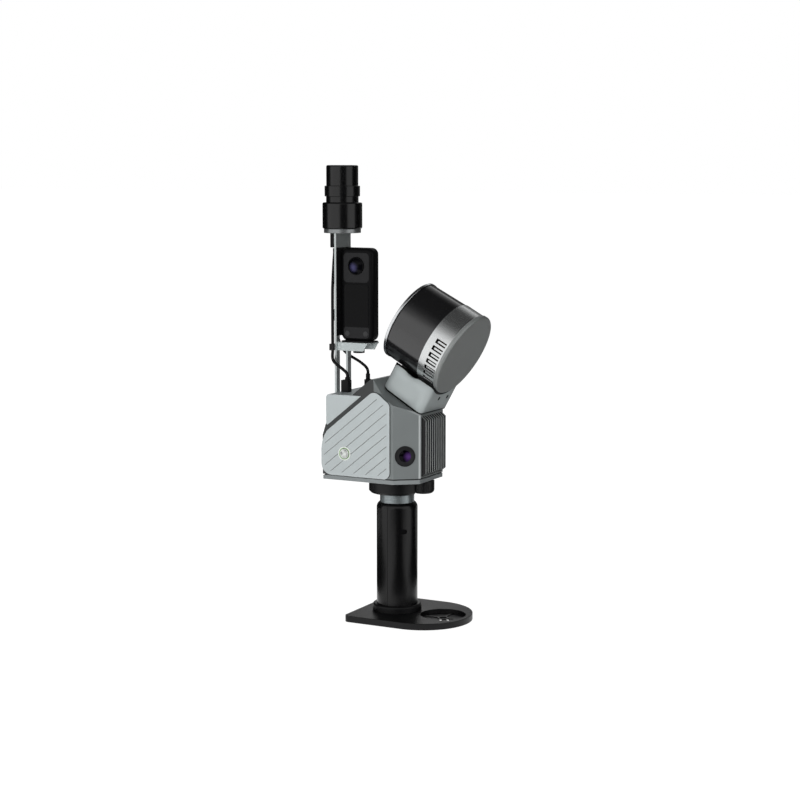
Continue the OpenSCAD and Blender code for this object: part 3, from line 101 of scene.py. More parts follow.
def axes_for(axis):
    """Two unit vectors square to the axis and to each other, and the axis itself at unit length."""
    along = np.asarray(axis, float) / np.linalg.norm(axis)
    helper = np.array([0.0, 0.0, 1.0]) if abs(along[2]) < 0.9 else np.array([1.0, 0.0, 0.0])
    across = np.cross(helper, along)
    across /= np.linalg.norm(across)
    return across, np.cross(along, across), along


def rounded(points, radius, steps=4):
    """Each inner corner B of a profile becomes the curve (1-t)^2 A + 2t(1-t) B + t^2 C,
    where A and C lie on its two legs, a radius away or half a leg at most."""
    points = np.asarray(points, float)
    t = np.linspace(0, 1, steps + 1)[:, None]
    before, corner, after = points[:-2], points[1:-1], points[2:]
    leg_in, leg_out = before - corner, after - corner
    long_in = np.linalg.norm(leg_in, axis=1, keepdims=True)
    long_out = np.linalg.norm(leg_out, axis=1, keepdims=True)
    a = corner + leg_in / long_in * np.minimum(radius, 0.49 * long_in)
    c = corner + leg_out / long_out * np.minimum(radius, 0.49 * long_out)
    curve = ((1 - t) ** 2)[None] * a[:, None] + (2 * t * (1 - t))[None] * corner[:, None]
    curve = curve + (t ** 2)[None] * c[:, None]
    return np.vstack([points[:1], curve.reshape(-1, 2), points[-1:]])


def turned(profile, origin, axis, columns=64):
    """P(s, a) = O + r(s) (cos a U + sin a V) + h(s) W, a profile of (r, h) carried round W."""
    profile = np.asarray(profile, float)
    u, v, w = axes_for(axis)
    angle = np.linspace(0, 2 * np.pi, columns, endpoint=False)
    ring = np.cos(angle)[:, None] * u + np.sin(angle)[:, None] * v
    reach, height = profile[:, 0][:, None, None], profile[:, 1][:, None, None]
    return np.asarray(origin, float) + reach * ring[None] + height * w


def put(name, grids, material, replaces=(), body="scanner", smooth_angle=40.0):
    """Joins grids of points into one mesh, closes seams and poles, turns its faces outwards
    and lets the piece ride on a CAD body."""
    starts = np.cumsum([0] + [g.shape[0] * g.shape[1] for g in grids])
    points = np.vstack([g.reshape(-1, 3) for g in grids])
    quads = np.vstack([grid_quads(*g.shape[:2]) + s for g, s in zip(grids, starts)])
    mesh = bpy.data.meshes.new(name)
    mesh.from_pydata(points.tolist(), [], quads.tolist())
    work = bmesh.new()
    work.from_mesh(mesh)
    bmesh.ops.remove_doubles(work, verts=work.verts, dist=1e-6)
    bmesh.ops.recalc_face_normals(work, faces=work.faces)
    work.to_mesh(mesh)
    work.free()
    mesh.polygons.foreach_set("use_smooth", np.ones(len(mesh.polygons), bool))
    mesh.set_sharp_from_angle(angle=math.radians(smooth_angle))
    piece = bpy.data.objects.new(name, mesh)
    scene.collection.objects.link(piece)
    mesh.materials.append(material)
    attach(piece, body)
    if replaces:
        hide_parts(*replaces)
    print(f"{name}: {len(mesh.polygons)} faces")


# %% [markdown]
# ## Shared surface effects
#
# Real finishes are never one flat colour. Paint has a fine orange peel, moulded plastic a spark grain, and
# drawn metal fine lines, and handling rubs the edges. A fourth mask, behind a plane, carries painted shade
# into seams, gaps and recesses, and painted highlights along edges. Four node groups give these effects, and
# each finish places them with its own sizes. All of them read Object coordinates, because every piece keeps
# its place in its own mesh.

# %% Short ways to place nodes
def feed(tree, socket, value):
    """Sets an input from another socket, or to a plain number, vector or colour."""
    if isinstance(value, bpy.types.NodeSocket):
        tree.links.new(value, socket)
    elif value is not None:
        socket.default_value = value


def give(tree, sockets, **values):
    """Feeds inputs by their names, with _ for each space."""
    for label, value in values.items():
        feed(tree, sockets[label.replace("_", " ")], value)


def math_node(tree, operation, first, second=None):
    """A Math node whose inputs are sockets or plain numbers; returns its output."""
    node = tree.nodes.new("ShaderNodeMath")
    node.operation = operation
    feed(tree, node.inputs[0], first)
    feed(tree, node.inputs[1], second)
    return node.outputs[0]


def vector_node(tree, operation, first, second=None):
    """A Vector Math node; returns a number for a length, a distance or a dot product, else a vector."""
    node = tree.nodes.new("ShaderNodeVectorMath")
    node.operation = operation
    feed(tree, node.inputs[0], first)
    feed(tree, node.inputs[1], second)
    return node.outputs["Value" if operation in ("LENGTH", "DISTANCE", "DOT_PRODUCT") else "Vector"]


def place_on(tree):
    """The point of the surface in the piece's own coordinates."""
    return tree.nodes.new("ShaderNodeTexCoord").outputs["Object"]


def surface_normal(tree):
    return tree.nodes.new("ShaderNodeNewGeometry").outputs["Normal"]


def parts_of(tree, vector):
    """The X, Y and Z of a vector, as three outputs."""
    node = tree.nodes.new("ShaderNodeSeparateXYZ")
    tree.links.new(vector, node.inputs[0])
    return node.outputs


def noise_at(tree, place, scale, detail):
    """Soft noise from 0 to 1; the scale is a socket or a number."""
    node = tree.nodes.new("ShaderNodeTexNoise")
    give(tree, node.inputs, Vector=place, Scale=scale, Detail=detail)
    return node.outputs["Fac"]


def spread(tree, value, to_low, to_high, from_low=0.0, from_high=1.0, smooth=False):
    """Carries a value from one range to another and holds it at both ends, each a socket or a number."""
    node = tree.nodes.new("ShaderNodeMapRange")
    node.interpolation_type = "SMOOTHSTEP" if smooth else "LINEAR"
    give(tree, node.inputs, Value=value, From_Min=from_low, From_Max=from_high, To_Min=to_low, To_Max=to_high)
    return node.outputs["Result"]


def clamped(tree, value):
    node = tree.nodes.new("ShaderNodeClamp")
    tree.links.new(value, node.inputs["Value"])
    return node.outputs[0]


def rounded_normal(tree, radius, samples):
    """The normal that the surface would have if its edges were rounded by a radius."""
    node = tree.nodes.new("ShaderNodeBevel")
    node.samples = samples
    feed(tree, node.inputs["Radius"], radius)
    return node.outputs["Normal"]


# %% Node groups for grain, drawn lines, worn edges and painted shade or highlights behind a plane
def new_group(name, inputs, outputs):
    """A shader group with float inputs (name, value) and float outputs (name)."""
    group = bpy.data.node_groups.new(name, "ShaderNodeTree")
    for label, value in inputs:
        socket = group.interface.new_socket(name=label, in_out="INPUT", socket_type="NodeSocketFloat")
        socket.default_value = value
    for label in outputs:
        group.interface.new_socket(name=label, in_out="OUTPUT", socket_type="NodeSocketFloat")
    return group, group.nodes.new("NodeGroupInput").outputs, group.nodes.new("NodeGroupOutput").inputs


FINE_SHARE, SLOW_SHARE, SLOW_PER_METRE, RUB_PER_METRE = 0.6, 0.4, 26.0, 240.0


def grain_group():
    """Fine grain for roughness and height, and a slow drift for the colour."""
    tree, given, made = new_group(
        "surface_grain",
        [("Grains per metre", 1500.0), ("Roughness low", 0.4), ("Roughness high", 0.5)],
        ["Drift", "Roughness", "Height"])
    place = place_on(tree)
    fine = noise_at(tree, place, given["Grains per metre"], 3.0)
    slow = noise_at(tree, place, SLOW_PER_METRE, 2.0)
    both = math_node(tree, "ADD", math_node(tree, "MULTIPLY", fine, FINE_SHARE),
                     math_node(tree, "MULTIPLY", slow, SLOW_SHARE))
    rough = spread(tree, both, given["Roughness low"], given["Roughness high"])
    give(tree, made, Drift=slow, Roughness=rough, Height=fine)
    return tree


def drawn_group():
    """Lines left by drawing or turning: noise that is stretched along one axis of the piece."""
    tree, given, made = new_group(
        "drawn_lines",
        [("Along X", 1.0), ("Along Y", 1.0), ("Along Z", 1.0), ("Roughness low", 0.2),
         ("Roughness high", 0.4)],
        ["Drift", "Roughness", "Height"])
    parts = parts_of(tree, place_on(tree))
    joined = tree.nodes.new("ShaderNodeCombineXYZ")
    for axis in "XYZ":
        tree.links.new(math_node(tree, "MULTIPLY", parts[axis], given["Along " + axis]), joined.inputs[axis])
    lines = noise_at(tree, joined.outputs[0], 1.0, 4.0)
    rough = spread(tree, lines, given["Roughness low"], given["Roughness high"])
    give(tree, made, Drift=lines, Roughness=rough, Height=lines)
    return tree


def wear_group():
    """A mask along the edges: where the normal of a rounded copy leaves the surface's own normal,
    broken up by noise."""
    tree, given, made = new_group("edge_wear", [("Width", 0.0008), ("Strength", 4.0)], ["Mask"])
    facing = vector_node(tree, "DOT_PRODUCT", rounded_normal(tree, given["Width"], 4), surface_normal(tree))
    bent = math_node(tree, "SUBTRACT", 1.0, facing)
    broken = math_node(tree, "MULTIPLY", bent, noise_at(tree, place_on(tree), RUB_PER_METRE, 3.0))
    tree.links.new(clamped(tree, math_node(tree, "MULTIPLY", broken, given["Strength"])), made["Mask"])
    return tree


def painted_plane_group():
    """A mask of the part of a piece that lies behind a plane: 1 where x, y and z times the plane's
    direction fall short of its edge, and 0 beyond it. Finishes use it for painted shade in seams, gaps and
    recesses, and for painted highlights along edges."""
    tree, given, made = new_group(
        "painted_plane_shade_and_highlight",
        [("Along X", 0.0), ("Along Y", 0.0), ("Along Z", 1.0), ("Edge", 0.0), ("Soft", 0.0002)], ["Mask"])
    parts = parts_of(tree, place_on(tree))
    x, y, z = (math_node(tree, "MULTIPLY", parts[axis], given["Along " + axis]) for axis in "XYZ")
    reach = math_node(tree, "ADD", math_node(tree, "ADD", x, y), z)
    short = math_node(tree, "SUBTRACT", given["Edge"], reach)
    tree.links.new(clamped(tree, math_node(tree, "DIVIDE", short, given["Soft"])), made["Mask"])
    return tree


GRAIN, DRAWN, WEAR, PAINTED_PLANE = grain_group(), drawn_group(), wear_group(), painted_plane_group()
print("groups:", [g.name for g in bpy.data.node_groups])

# %% [markdown]
# ## Finishes
#
# A finish starts from a colour read off the real thing and a roughness. The grain group moves both a
# little over the surface and drives a bump, and the wear group lightens the edges a touch, as handling
# does. What is the same all over, such as how much a plastic mirrors, is set on the shader itself.

# %% Functions that build a finish
def shade(rgb, factor=1.0):
    """Screen values of 0 to 255 as the linear values that a shader takes, times a factor and 1 at most."""
    c = np.asarray(rgb, float) / 255.0
    c = np.where(c <= 0.04045, c / 12.92, ((c + 0.055) / 1.055) ** 2.4)
    return tuple(np.minimum(c * factor, 1.0))


def plain_material(name):
    material = bpy.data.materials.new(name)
    material.use_nodes = True
    return material, material.node_tree, material.node_tree.nodes["Principled BSDF"].inputs


def group_node(tree, group, **values):
    """Places a shared group with its own values; returns its outputs."""
    node = tree.nodes.new("ShaderNodeGroup")
    node.node_tree = group
    give(tree, node.inputs, **values)
    return node.outputs


def colour_mix(tree, factor, first, second):
    """A colour between two, each a linear colour or a socket, by a factor from 0 to 1."""
    node = tree.nodes.new("ShaderNodeMix")
    node.data_type = "RGBA"
    tree.links.new(factor, node.inputs["Factor"])
    for socket, value in zip((node.inputs[6], node.inputs[7]), (first, second)):
        feed(tree, socket, (*value, 1.0) if isinstance(value, tuple) else value)
    return node.outputs[2]


def bump(tree, height, strength, depth, under=None):
    """The surface's normal, or the one given as under, tilted by the slope of a height."""
    node = tree.nodes.new("ShaderNodeBump")
    give(tree, node.inputs, Strength=strength, Distance=depth, Height=height, Normal=under)
    return node.outputs["Normal"]


def inside_radius(tree, middle, axis, radius, fade=0.0004):
    """1 inside a radius about an axis and 0 outside: the distance of P from the axis is the length of
    (P - middle) x axis."""
    away_from = vector_node(tree, "SUBTRACT", place_on(tree), middle)
    far = vector_node(tree, "LENGTH", vector_node(tree, "CROSS_PRODUCT", away_from, axis))
    return spread(tree, far, 1.0, 0.0, radius - fade, radius)


def looks_along(tree, direction, x_limit, straight=0.9):
    """1 on the faces that look along a direction or against it, up to a place along x."""
    facing = vector_node(tree, "DOT_PRODUCT", surface_normal(tree), direction)
    steep = math_node(tree, "GREATER_THAN", math_node(tree, "ABSOLUTE", facing), straight)
    reached = math_node(tree, "LESS_THAN", parts_of(tree, place_on(tree))["X"], x_limit)
    return math_node(tree, "MULTIPLY", steep, reached)


RUB_WIDE, RUB_STRENGTH, SEAM_SOFT, BUMP_STRENGTH = 0.0009, 3.0, 0.0003, 0.35


def finish(name, colour, rough, metallic=0.0, mirror=0.5, grain=1500.0, depth=0.00005, vary=0.06,
           wear=None, drawn=None, seams=(), painted_core_shade=None, shaded_walls=None, soft_edge=0.0):
    """A paint, plastic or metal. Colours are screen values of 0 to 255. rough is the pair of lowest and
    highest roughness, vary is how far the colour drifts, wear is the colour of rubbed edges, and drawn
    stretches the grain along one axis. A seam is a direction, an edge along it in metres and the colour
    behind that edge: painted shade in seams, gaps and recesses, or a painted highlight along an edge.
    painted_core_shade is a point and a direction of a round piece's axis, a radius and the colour of the
    painted shade inside that radius. shaded_walls is a direction, the colour of the painted shade on the
    faces that look along it or against it, and the x up to which they have it. soft_edge is the radius in
    metres by which the shading of all edges is rounded."""
    material, tree, shader = plain_material(name)
    limits = {"Roughness_low": rough[0], "Roughness_high": rough[1]}
    if drawn:
        effect = group_node(tree, DRAWN, Along_X=drawn[0], Along_Y=drawn[1], Along_Z=drawn[2], **limits)
    else:
        effect = group_node(tree, GRAIN, Grains_per_metre=grain, **limits)
    base = colour_mix(tree, effect["Drift"], shade(colour, 1 - vary), shade(colour, 1 + vary))
    if wear:
        edge = group_node(tree, WEAR, Width=RUB_WIDE, Strength=RUB_STRENGTH)
        base = colour_mix(tree, edge["Mask"], base, shade(wear))
    for (x, y, z), reach, dark in seams:
        behind = group_node(tree, PAINTED_PLANE, Along_X=x, Along_Y=y, Along_Z=z, Edge=reach, Soft=SEAM_SOFT)
        base = colour_mix(tree, behind["Mask"], base, shade(dark))
    if painted_core_shade:
        base = colour_mix(tree, inside_radius(tree, *painted_core_shade[:3]), base, shade(painted_core_shade[3]))
    if shaded_walls:
        base = colour_mix(tree, looks_along(tree, shaded_walls[0], shaded_walls[2]), base, shade(shaded_walls[1]))
    under = rounded_normal(tree, soft_edge, 8) if soft_edge else None
    normal = bump(tree, effect["Height"], BUMP_STRENGTH, depth, under)
    give(tree, shader, Base_Color=base, Roughness=effect["Roughness"], Normal=normal, Metallic=metallic,
         Specular_IOR_Level=mirror)
    return material


# %% Paints of the casing
# Painted shade: the side panels' grooves and the faces under their outer face are painted darker greys.
GROOVE_FACE, GROOVE_PAINTED_SHADE = 0.0536, (140, 145, 145)
WALL_FACE, WALL_PAINTED_SHADE = 0.0531, (44, 46, 46)
PANEL_LOOK = {"colour": (190, 197, 198), "rough": (0.42, 0.52), "mirror": 0.35, "wear": (222, 226, 226)}


def groove_painted_shade(side):
    """Painted shade for a panel: a grey in its grooves and a darker grey on its side faces, where the gap to
    the casing lies; side is -1 for the right panel.
    """
    return [((0, side, 0), GROOVE_FACE, GROOVE_PAINTED_SHADE), ((0, side, 0), WALL_FACE, WALL_PAINTED_SHADE)]


panel_paint = finish("panel_silver_paint", **PANEL_LOOK)
right_panel_paint = finish("right_panel_paint", **PANEL_LOOK, seams=groove_painted_shade(-1))
left_panel_paint = finish("left_panel_paint", **PANEL_LOOK, seams=groove_painted_shade(1))

SEAM_HIGH, SEAM_OVER, SEAM_UNDER, SEAM_PAINTED_SHADE = 0.1785, 0.0004, 0.0014, (14, 14, 15)
# Painted highlights: a light grey along the casing's front upright edges and a paler grey along its brow.
FRONT_EDGE_HIGHLIGHT = ((-0.9005, 0.435, 0.0), -0.05524, (196, 201, 201))
BROW_EDGE_HIGHLIGHT = ((-0.7015, 0.481, -0.5243), -0.18130, (150, 155, 155))


def mirrored(direction):
    return direction[0], -direction[1], direction[2]


painted_edge_highlights = [(turn(way), reach, light) for turn in (tuple, mirrored)
               for way, reach, light in (FRONT_EDGE_HIGHLIGHT, BROW_EDGE_HIGHLIGHT)]
# Painted shade: the casing below the bottom seam is painted near black, and its side faces behind x = 12 mm,
# the strip between the panel and the rear module, are painted dark grey.
casing_paint = finish("casing_grey_paint", (120, 125, 125), (0.34, 0.46), wear=(186, 190, 190),
                      seams=painted_edge_highlights + [((0, 0, 1), SEAM_HIGH + SEAM_OVER, SEAM_PAINTED_SHADE)],
                      shaded_walls=((0, 1, 0), (50, 52, 52), 0.012))
# Painted shade: the cover's top, just under the seam, is painted near black.
cover_paint = finish("cover_silver_paint", (138, 143, 144), (0.36, 0.48), mirror=0.4,
                     wear=(196, 200, 200), seams=[((0, 0, -1), SEAM_UNDER - SEAM_HIGH, SEAM_PAINTED_SHADE)])
ROOF_FALL, ROOF_REACH, ROOF_SHADOW = (0.521, 0.0, 0.8536), 0.24327, 0.0028
LIDAR_MID, LIDAR_AXIS = (0.0906, 0.0, 0.3258), (0.8746, 0.0, -0.4848)
# Painted shadow: the neck's foot along the roof, and all of the neck within 56.5 mm of the lidar's axis
# under the lidar, are painted near black.
neck_paint = finish("neck_silver_paint", (178, 185, 185), (0.40, 0.50), mirror=0.35,
                    wear=(206, 210, 210), seams=[(ROOF_FALL, ROOF_REACH + ROOF_SHADOW, SEAM_PAINTED_SHADE)],
                    painted_core_shade=(LIDAR_MID, LIDAR_AXIS, 0.0565, (12, 12, 13)), soft_edge=0.020)
tray_paint = finish("tray_silver_paint", (190, 198, 198), (0.40, 0.50), mirror=0.35, wear=(216, 220, 220))
disc_paint = finish("disc_silver_paint", (146, 149, 148), (0.40, 0.50), metallic=0.3, mirror=0.3,
                    wear=(196, 199, 198))
mark_white = finish("index_mark_white", (232, 232, 230), (0.45, 0.55), mirror=0.3)
print("paints:", len(bpy.data.materials))

# %% Bare metals
ROUND_Z = (60.0, 60.0, 2600.0)
# Painted shade: the band inside 51.4 mm of the lidar's axis, the inside of its vents, is painted near black.
band_metal = finish("lidar_band_metal", (220, 222, 222), (0.25, 0.28), metallic=0.95,
                    drawn=(2600.0, 60.0, 2600.0), depth=0.000002, vary=0.03,
                    painted_core_shade=(LIDAR_MID, LIDAR_AXIS, 0.0514, (8, 8, 9)))
rim_metal = finish("lidar_rim_metal", (222, 224, 226), (0.16, 0.24), metallic=1.0,
                   drawn=(1800.0, 40.0, 1800.0), depth=0.00001)
sheet_metal = finish("mast_sheet_metal", (190, 196, 196), (0.30, 0.42), metallic=0.75, mirror=0.3,
                     drawn=(900.0, 900.0, 30.0), depth=0.00002, wear=(220, 224, 224))
collar_metal = finish("collar_metal", (140, 148, 150), (0.22, 0.30), metallic=0.62, drawn=ROUND_Z,
                      depth=0.00002)
flange_metal = finish("antenna_flange_metal", (140, 143, 144), (0.24, 0.34), metallic=0.75,
                      drawn=ROUND_Z, depth=0.00002)
SINK_LOOK = {"rough": (0.36, 0.48), "metallic": 0.25, "mirror": 0.4, "grain": 1800.0}
# Painted shade: the sink behind x = 51.6 mm, between and under the fins, is painted near black, and so are
# the
# fins' side faces.
sink_metal = finish("heat_sink_metal", (134, 138, 137), **SINK_LOOK, wear=(186, 190, 189),
                    seams=[((1, 0, 0), 0.0516, (15, 15, 16))])
fin_metal = finish("heat_sink_fin_metal", (158, 162, 161), **SINK_LOOK,
                   shaded_walls=((0, 1, 0), (18, 18, 19), 1.0))
steel_dark = finish("dark_screw_steel", (58, 58, 60), (0.30, 0.42), metallic=0.8, mirror=0.4,
                    grain=2600.0, depth=0.00002)
steel_bright = finish("bright_screw_steel", (160, 160, 162), (0.26, 0.36), metallic=0.9,
                      grain=2600.0, depth=0.00002)
copper = finish("motor_copper", (176, 112, 70), (0.30, 0.42), metallic=0.9,
                drawn=(2400.0, 2400.0, 300.0), depth=0.00003)
print("with metals:", len(bpy.data.materials))

# %% Blacks, from gloss to rubber, and the colours inside
def near_black(level):
    return level, level, level + 1


def black(name, level, rough, mirror, grain, depth, vary=0.06, rubbed=None):
    """A black or dark grey of one screen level; rubbed is the level of its edges."""
    wear = near_black(rubbed) if rubbed else None
    return finish(name, near_black(level), rough, mirror=mirror, grain=grain, depth=depth, vary=vary,
                  wear=wear)


window_black = black("lidar_window_black", 24, (0.12, 0.18), 0.95, 600.0, 0.000005)
screen_black = black("screen_glass_black", 9, (0.05, 0.09), 0.1, 300.0, 0.000003)
base_black = black("base_plate_powder_coat", 12, (0.36, 0.48), 0.26, 2600.0, 0.00012, 0.1, 40)
grip_black = black("grip_soft_black", 10, (0.20, 0.28), 0.34, 3200.0, 0.00006, 0.1, 34)
plastic_black = black("moulded_black", 15, (0.32, 0.46), 0.3, 2400.0, 0.00006, 0.1, 38)
antenna_black = black("antenna_satin_black", 9, (0.18, 0.26), 0.46, 2600.0, 0.00005, 0.1, 40)
camera_black = black("camera_case_black", 13, (0.34, 0.46), 0.08, 4200.0, 0.00005, 0.08)
zone_black = black("lens_zone_black", 41, (0.50, 0.62), 0.12, 5200.0, 0.00008, 0.08)
key_grey = black("camera_key_grey", 62, (0.44, 0.56), 0.15, 4200.0, 0.00004)
press_black = black("press_button_black", 7, (0.44, 0.56), 0.08, 2800.0, 0.00004)
barrel_black = black("lens_barrel_black", 6, (0.20, 0.30), 0.1, 3600.0, 0.00002)
ring_black = black("lens_ring_black", 34, (0.34, 0.44), 0.16, 3600.0, 0.00003)
rubber_black = black("cable_rubber_black", 18, (0.50, 0.62), 0.2, 3600.0, 0.00006, 0.12)
chip_black = finish("chip_black", (38, 38, 40), (0.44, 0.54), mirror=0.3)
board_green = finish("circuit_board_green", (24, 92, 52), (0.36, 0.46), mirror=0.4, vary=0.12)
cell_blue = finish("battery_wrap_blue", (46, 84, 150), (0.30, 0.40), mirror=0.4)
print("finishes:", len(bpy.data.materials))

# %% Glass with a painted reflection, turned steel and the lit ring
def glass_with_painted_reflection(name, reflection_colour, dark_colour, rough, metallic, mirror, flatten, spots, spot_r):
    """Lens glass with a painted reflection: a coloured spot that fades to dark with the distance from the
    nearest of its centres. Distances are taken after each axis is multiplied by flatten, so one spot can
    serve front and back."""
    material, tree, shader = plain_material(name)
    place = vector_node(tree, "MULTIPLY", place_on(tree), flatten)
    gaps = [vector_node(tree, "DISTANCE", place, tuple(np.array(spot) * flatten * MM)) for spot in spots]
    nearest = gaps[0]
    for gap in gaps[1:]:
        nearest = math_node(tree, "MINIMUM", nearest, gap)
    fade = spread(tree, nearest, 0.0, 1.0, 0.0, spot_r * MM, smooth=True)
    grain = group_node(tree, GRAIN, Grains_per_metre=900.0, Roughness_low=rough, Roughness_high=rough * 1.4)
    base = colour_mix(tree, fade, shade(reflection_colour), shade(dark_colour))
    give(tree, shader, Base_Color=base, Roughness=grain["Roughness"], Metallic=metallic,
         Specular_IOR_Level=mirror)
    return material


# Painted reflections: a purple spot on each scanning lens and a violet spot on the stick camera's dome,
# each fading to near black.
SCAN_REFLECTION_SPOTS, SCAN_REFLECTION_R = [(36.4, -39.8, 205.8), (36.4, 39.8, 205.8)], 7.4
scan_glass_reflection_paint = glass_with_painted_reflection("scan_glass_painted_reflection", (122, 80, 164), (8, 7, 12), 0.08, 0.6, 0.2,
                      (1.0, 1.0, 1.0), SCAN_REFLECTION_SPOTS, SCAN_REFLECTION_R)
DOME_REFLECTION_SPOT, DOME_REFLECTION_R = (-53.4, 0.0, 427.6), 7.6
dome_glass_reflection_paint = glass_with_painted_reflection("dome_glass_painted_reflection", (70, 68, 106), (7, 7, 10), 0.06, 0.0, 0.08,
                    (1.0, 0.0, 1.0), [DOME_REFLECTION_SPOT], DOME_REFLECTION_R)


def turned_face(name, colour, middle, rings_per_metre):
    """Steel off the lathe: a sine of the distance from the middle gives the rings on the face."""
    material, tree, shader = plain_material(name)
    far = vector_node(tree, "DISTANCE", place_on(tree), middle)
    wave = math_node(tree, "SINE", math_node(tree, "MULTIPLY", far, rings_per_metre))
    grain = group_node(tree, GRAIN, Grains_per_metre=2600.0, Roughness_low=0.12, Roughness_high=0.18)
    base = colour_mix(tree, grain["Drift"], shade(colour, 0.94), shade(colour, 1.06))
    around = tree.nodes.new("ShaderNodeTangent")
    around.direction_type, around.axis = "RADIAL", "Y"
    give(tree, shader, Base_Color=base, Roughness=grain["Roughness"], Normal=bump(tree, wave, 0.5, 0.00006),
         Metallic=1.0, Anisotropic=0.5, Tangent=around.outputs[0])
    return material


def glowing(name, colour, glow_colour, strength, rim_colour, middle, axis, lit_radius):
    """Milky plastic with a light behind it: the glow drifts a little along the ring. Past the lit radius
    about the axis lies a pale rim without a light."""
    material, tree, shader = plain_material(name)
    grain = group_node(tree, GRAIN, Grains_per_metre=700.0, Roughness_low=0.3, Roughness_high=0.4)
    lit = inside_radius(tree, middle, axis, lit_radius)
    glow = colour_mix(tree, grain["Drift"], shade(glow_colour, 0.85), shade(glow_colour))
    body = colour_mix(tree, grain["Drift"], shade(colour, 0.92), shade(colour))
    give(tree, shader, Emission_Color=colour_mix(tree, lit, (0.0, 0.0, 0.0), glow),
         Emission_Strength=strength, Base_Color=colour_mix(tree, lit, shade(rim_colour), body),
         Roughness=grain["Roughness"])
    return material


BUTTON_PLACE, BUTTON_OUT = np.array([-43.2, -54.0, 205.9]), np.array([0.0, -1.0, 0.0])
CAP_PROUD, RING_LIT_R = 1.1, 7.4
turned_steel = turned_face("turned_button_steel", (214, 217, 214),
                           tuple((BUTTON_PLACE + CAP_PROUD * BUTTON_OUT) * MM), 9000.0)
ring_glow = glowing("lit_ring_plastic", (118, 146, 104), (170, 206, 150), 0.28,
                    (236, 240, 236), tuple(BUTTON_PLACE * MM), tuple(BUTTON_OUT), RING_LIT_R * MM)
print("with glass and lights:", len(bpy.data.materials))

# %% [markdown]
# ## Light
#
# A product like this stands in soft light: one wide lamp close to the camera, a weaker one behind, a
# faint even light from all round, and a white room. The lamps are weak enough that a colour comes out as
# it is written. The white that the lens and the metal see comes from the world and the floor, not from more
# light. Black gloss and bare metal would mirror that white everywhere, so dark cards stand outside the
# picture, as they do in a real studio. Only mirrored rays see the cards, and they throw no shadow.

# %% Lamps that look at the scanner's middle
MIDDLE, UPRIGHT = Vector((0.0, 0.0, 0.28)), Vector((0.0, 0.0, 1.0))


def sideways(turn, away):
    """A point of the floor plan, from a turn about the scanner and a distance; no turn is its right side."""
    a = math.radians(turn)
    return Vector((math.sin(a) * away, -math.cos(a) * away, 0.0))


def soft_lamp(name, turn, rise, away, wide, high, watts):
    """A wide lamp at a turn about the scanner, 0 on its right side, and a rise over the horizon, in degrees.
    It looks at the scanner's middle, and mirrors don't show it."""
    r = math.radians(rise)
    towards = sideways(turn, math.cos(r)) + math.sin(r) * UPRIGHT
    data = bpy.data.lights.new(name, "AREA")
    data.shape, data.size, data.size_y = "RECTANGLE", wide, high
    data.energy = watts
    lamp = bpy.data.objects.new(name, data)
    lamp.location = MIDDLE + towards * away
    lamp.rotation_euler = towards.to_track_quat("Z", "Y").to_euler()
    lamp.visible_glossy = False
    scene.collection.objects.link(lamp)
    print(f"{name}: {watts} W")


soft_lamp("key_lamp", 17, 8, 2.4, 2.0, 1.2, 46.0)
soft_lamp("back_lamp", 205, 38, 2.4, 1.6, 1.2, 16.0)

# %% World and floor
FAINT, FLOOR_HALF, FLOOR_GREY, FLOOR_THIN = 0.11, 30.0, 0.8, 0.22
GLOW_NEAR, GLOW_FAR, NEAR_END, FAR_END = 0.955, 1.0, 0.3, 2.5


def seen_directly(tree):
    """1 for rays that the camera, a mirror or glass sends out, 0 for the light that falls on things."""
    path = tree.nodes.new("ShaderNodeLightPath").outputs
    both = math_node(tree, "MAXIMUM", path["Is Camera Ray"], path["Is Glossy Ray"])
    return math_node(tree, "MAXIMUM", both, path["Is Transmission Ray"])


def blend_shaders(tree, factor, first, second, target):
    mix = tree.nodes.new("ShaderNodeMixShader")
    for socket, value in zip(mix.inputs, (factor, first, second)):
        tree.links.new(value, socket)
    tree.links.new(mix.outputs[0], target)


def flat_sheet(name, centre, half_across, half_along, material):
    """A single rectangle from its centre and two half edges."""
    c, a, b = Vector(centre), Vector(half_across), Vector(half_along)
    mesh = bpy.data.meshes.new(name)
    mesh.from_pydata([c - a - b, c + a - b, c + a + b, c - a + b], [], [(0, 1, 2, 3)])
    mesh.materials.append(material)
    sheet = bpy.data.objects.new(name, mesh)
    scene.collection.objects.link(sheet)
    return sheet


def matt(tree, grey):
    node = tree.nodes.new("ShaderNodeBsdfDiffuse")
    node.inputs["Color"].default_value = (grey, grey, grey, 1.0)
    return node.outputs[0]


world = bpy.data.worlds.new("white_room")
scene.world = world
world.use_nodes = True
world_tree = world.node_tree
falling = world_tree.nodes["Background"]
give(world_tree, falling.inputs, Color=(0.96, 0.98, 1.0, 1.0), Strength=FAINT)
white = world_tree.nodes.new("ShaderNodeBackground")
white.inputs["Color"].default_value = (1.0, 1.0, 1.0, 1.0)
blend_shaders(world_tree, seen_directly(world_tree), falling.outputs[0], white.outputs[0],
              world_tree.nodes["World Output"].inputs["Surface"])

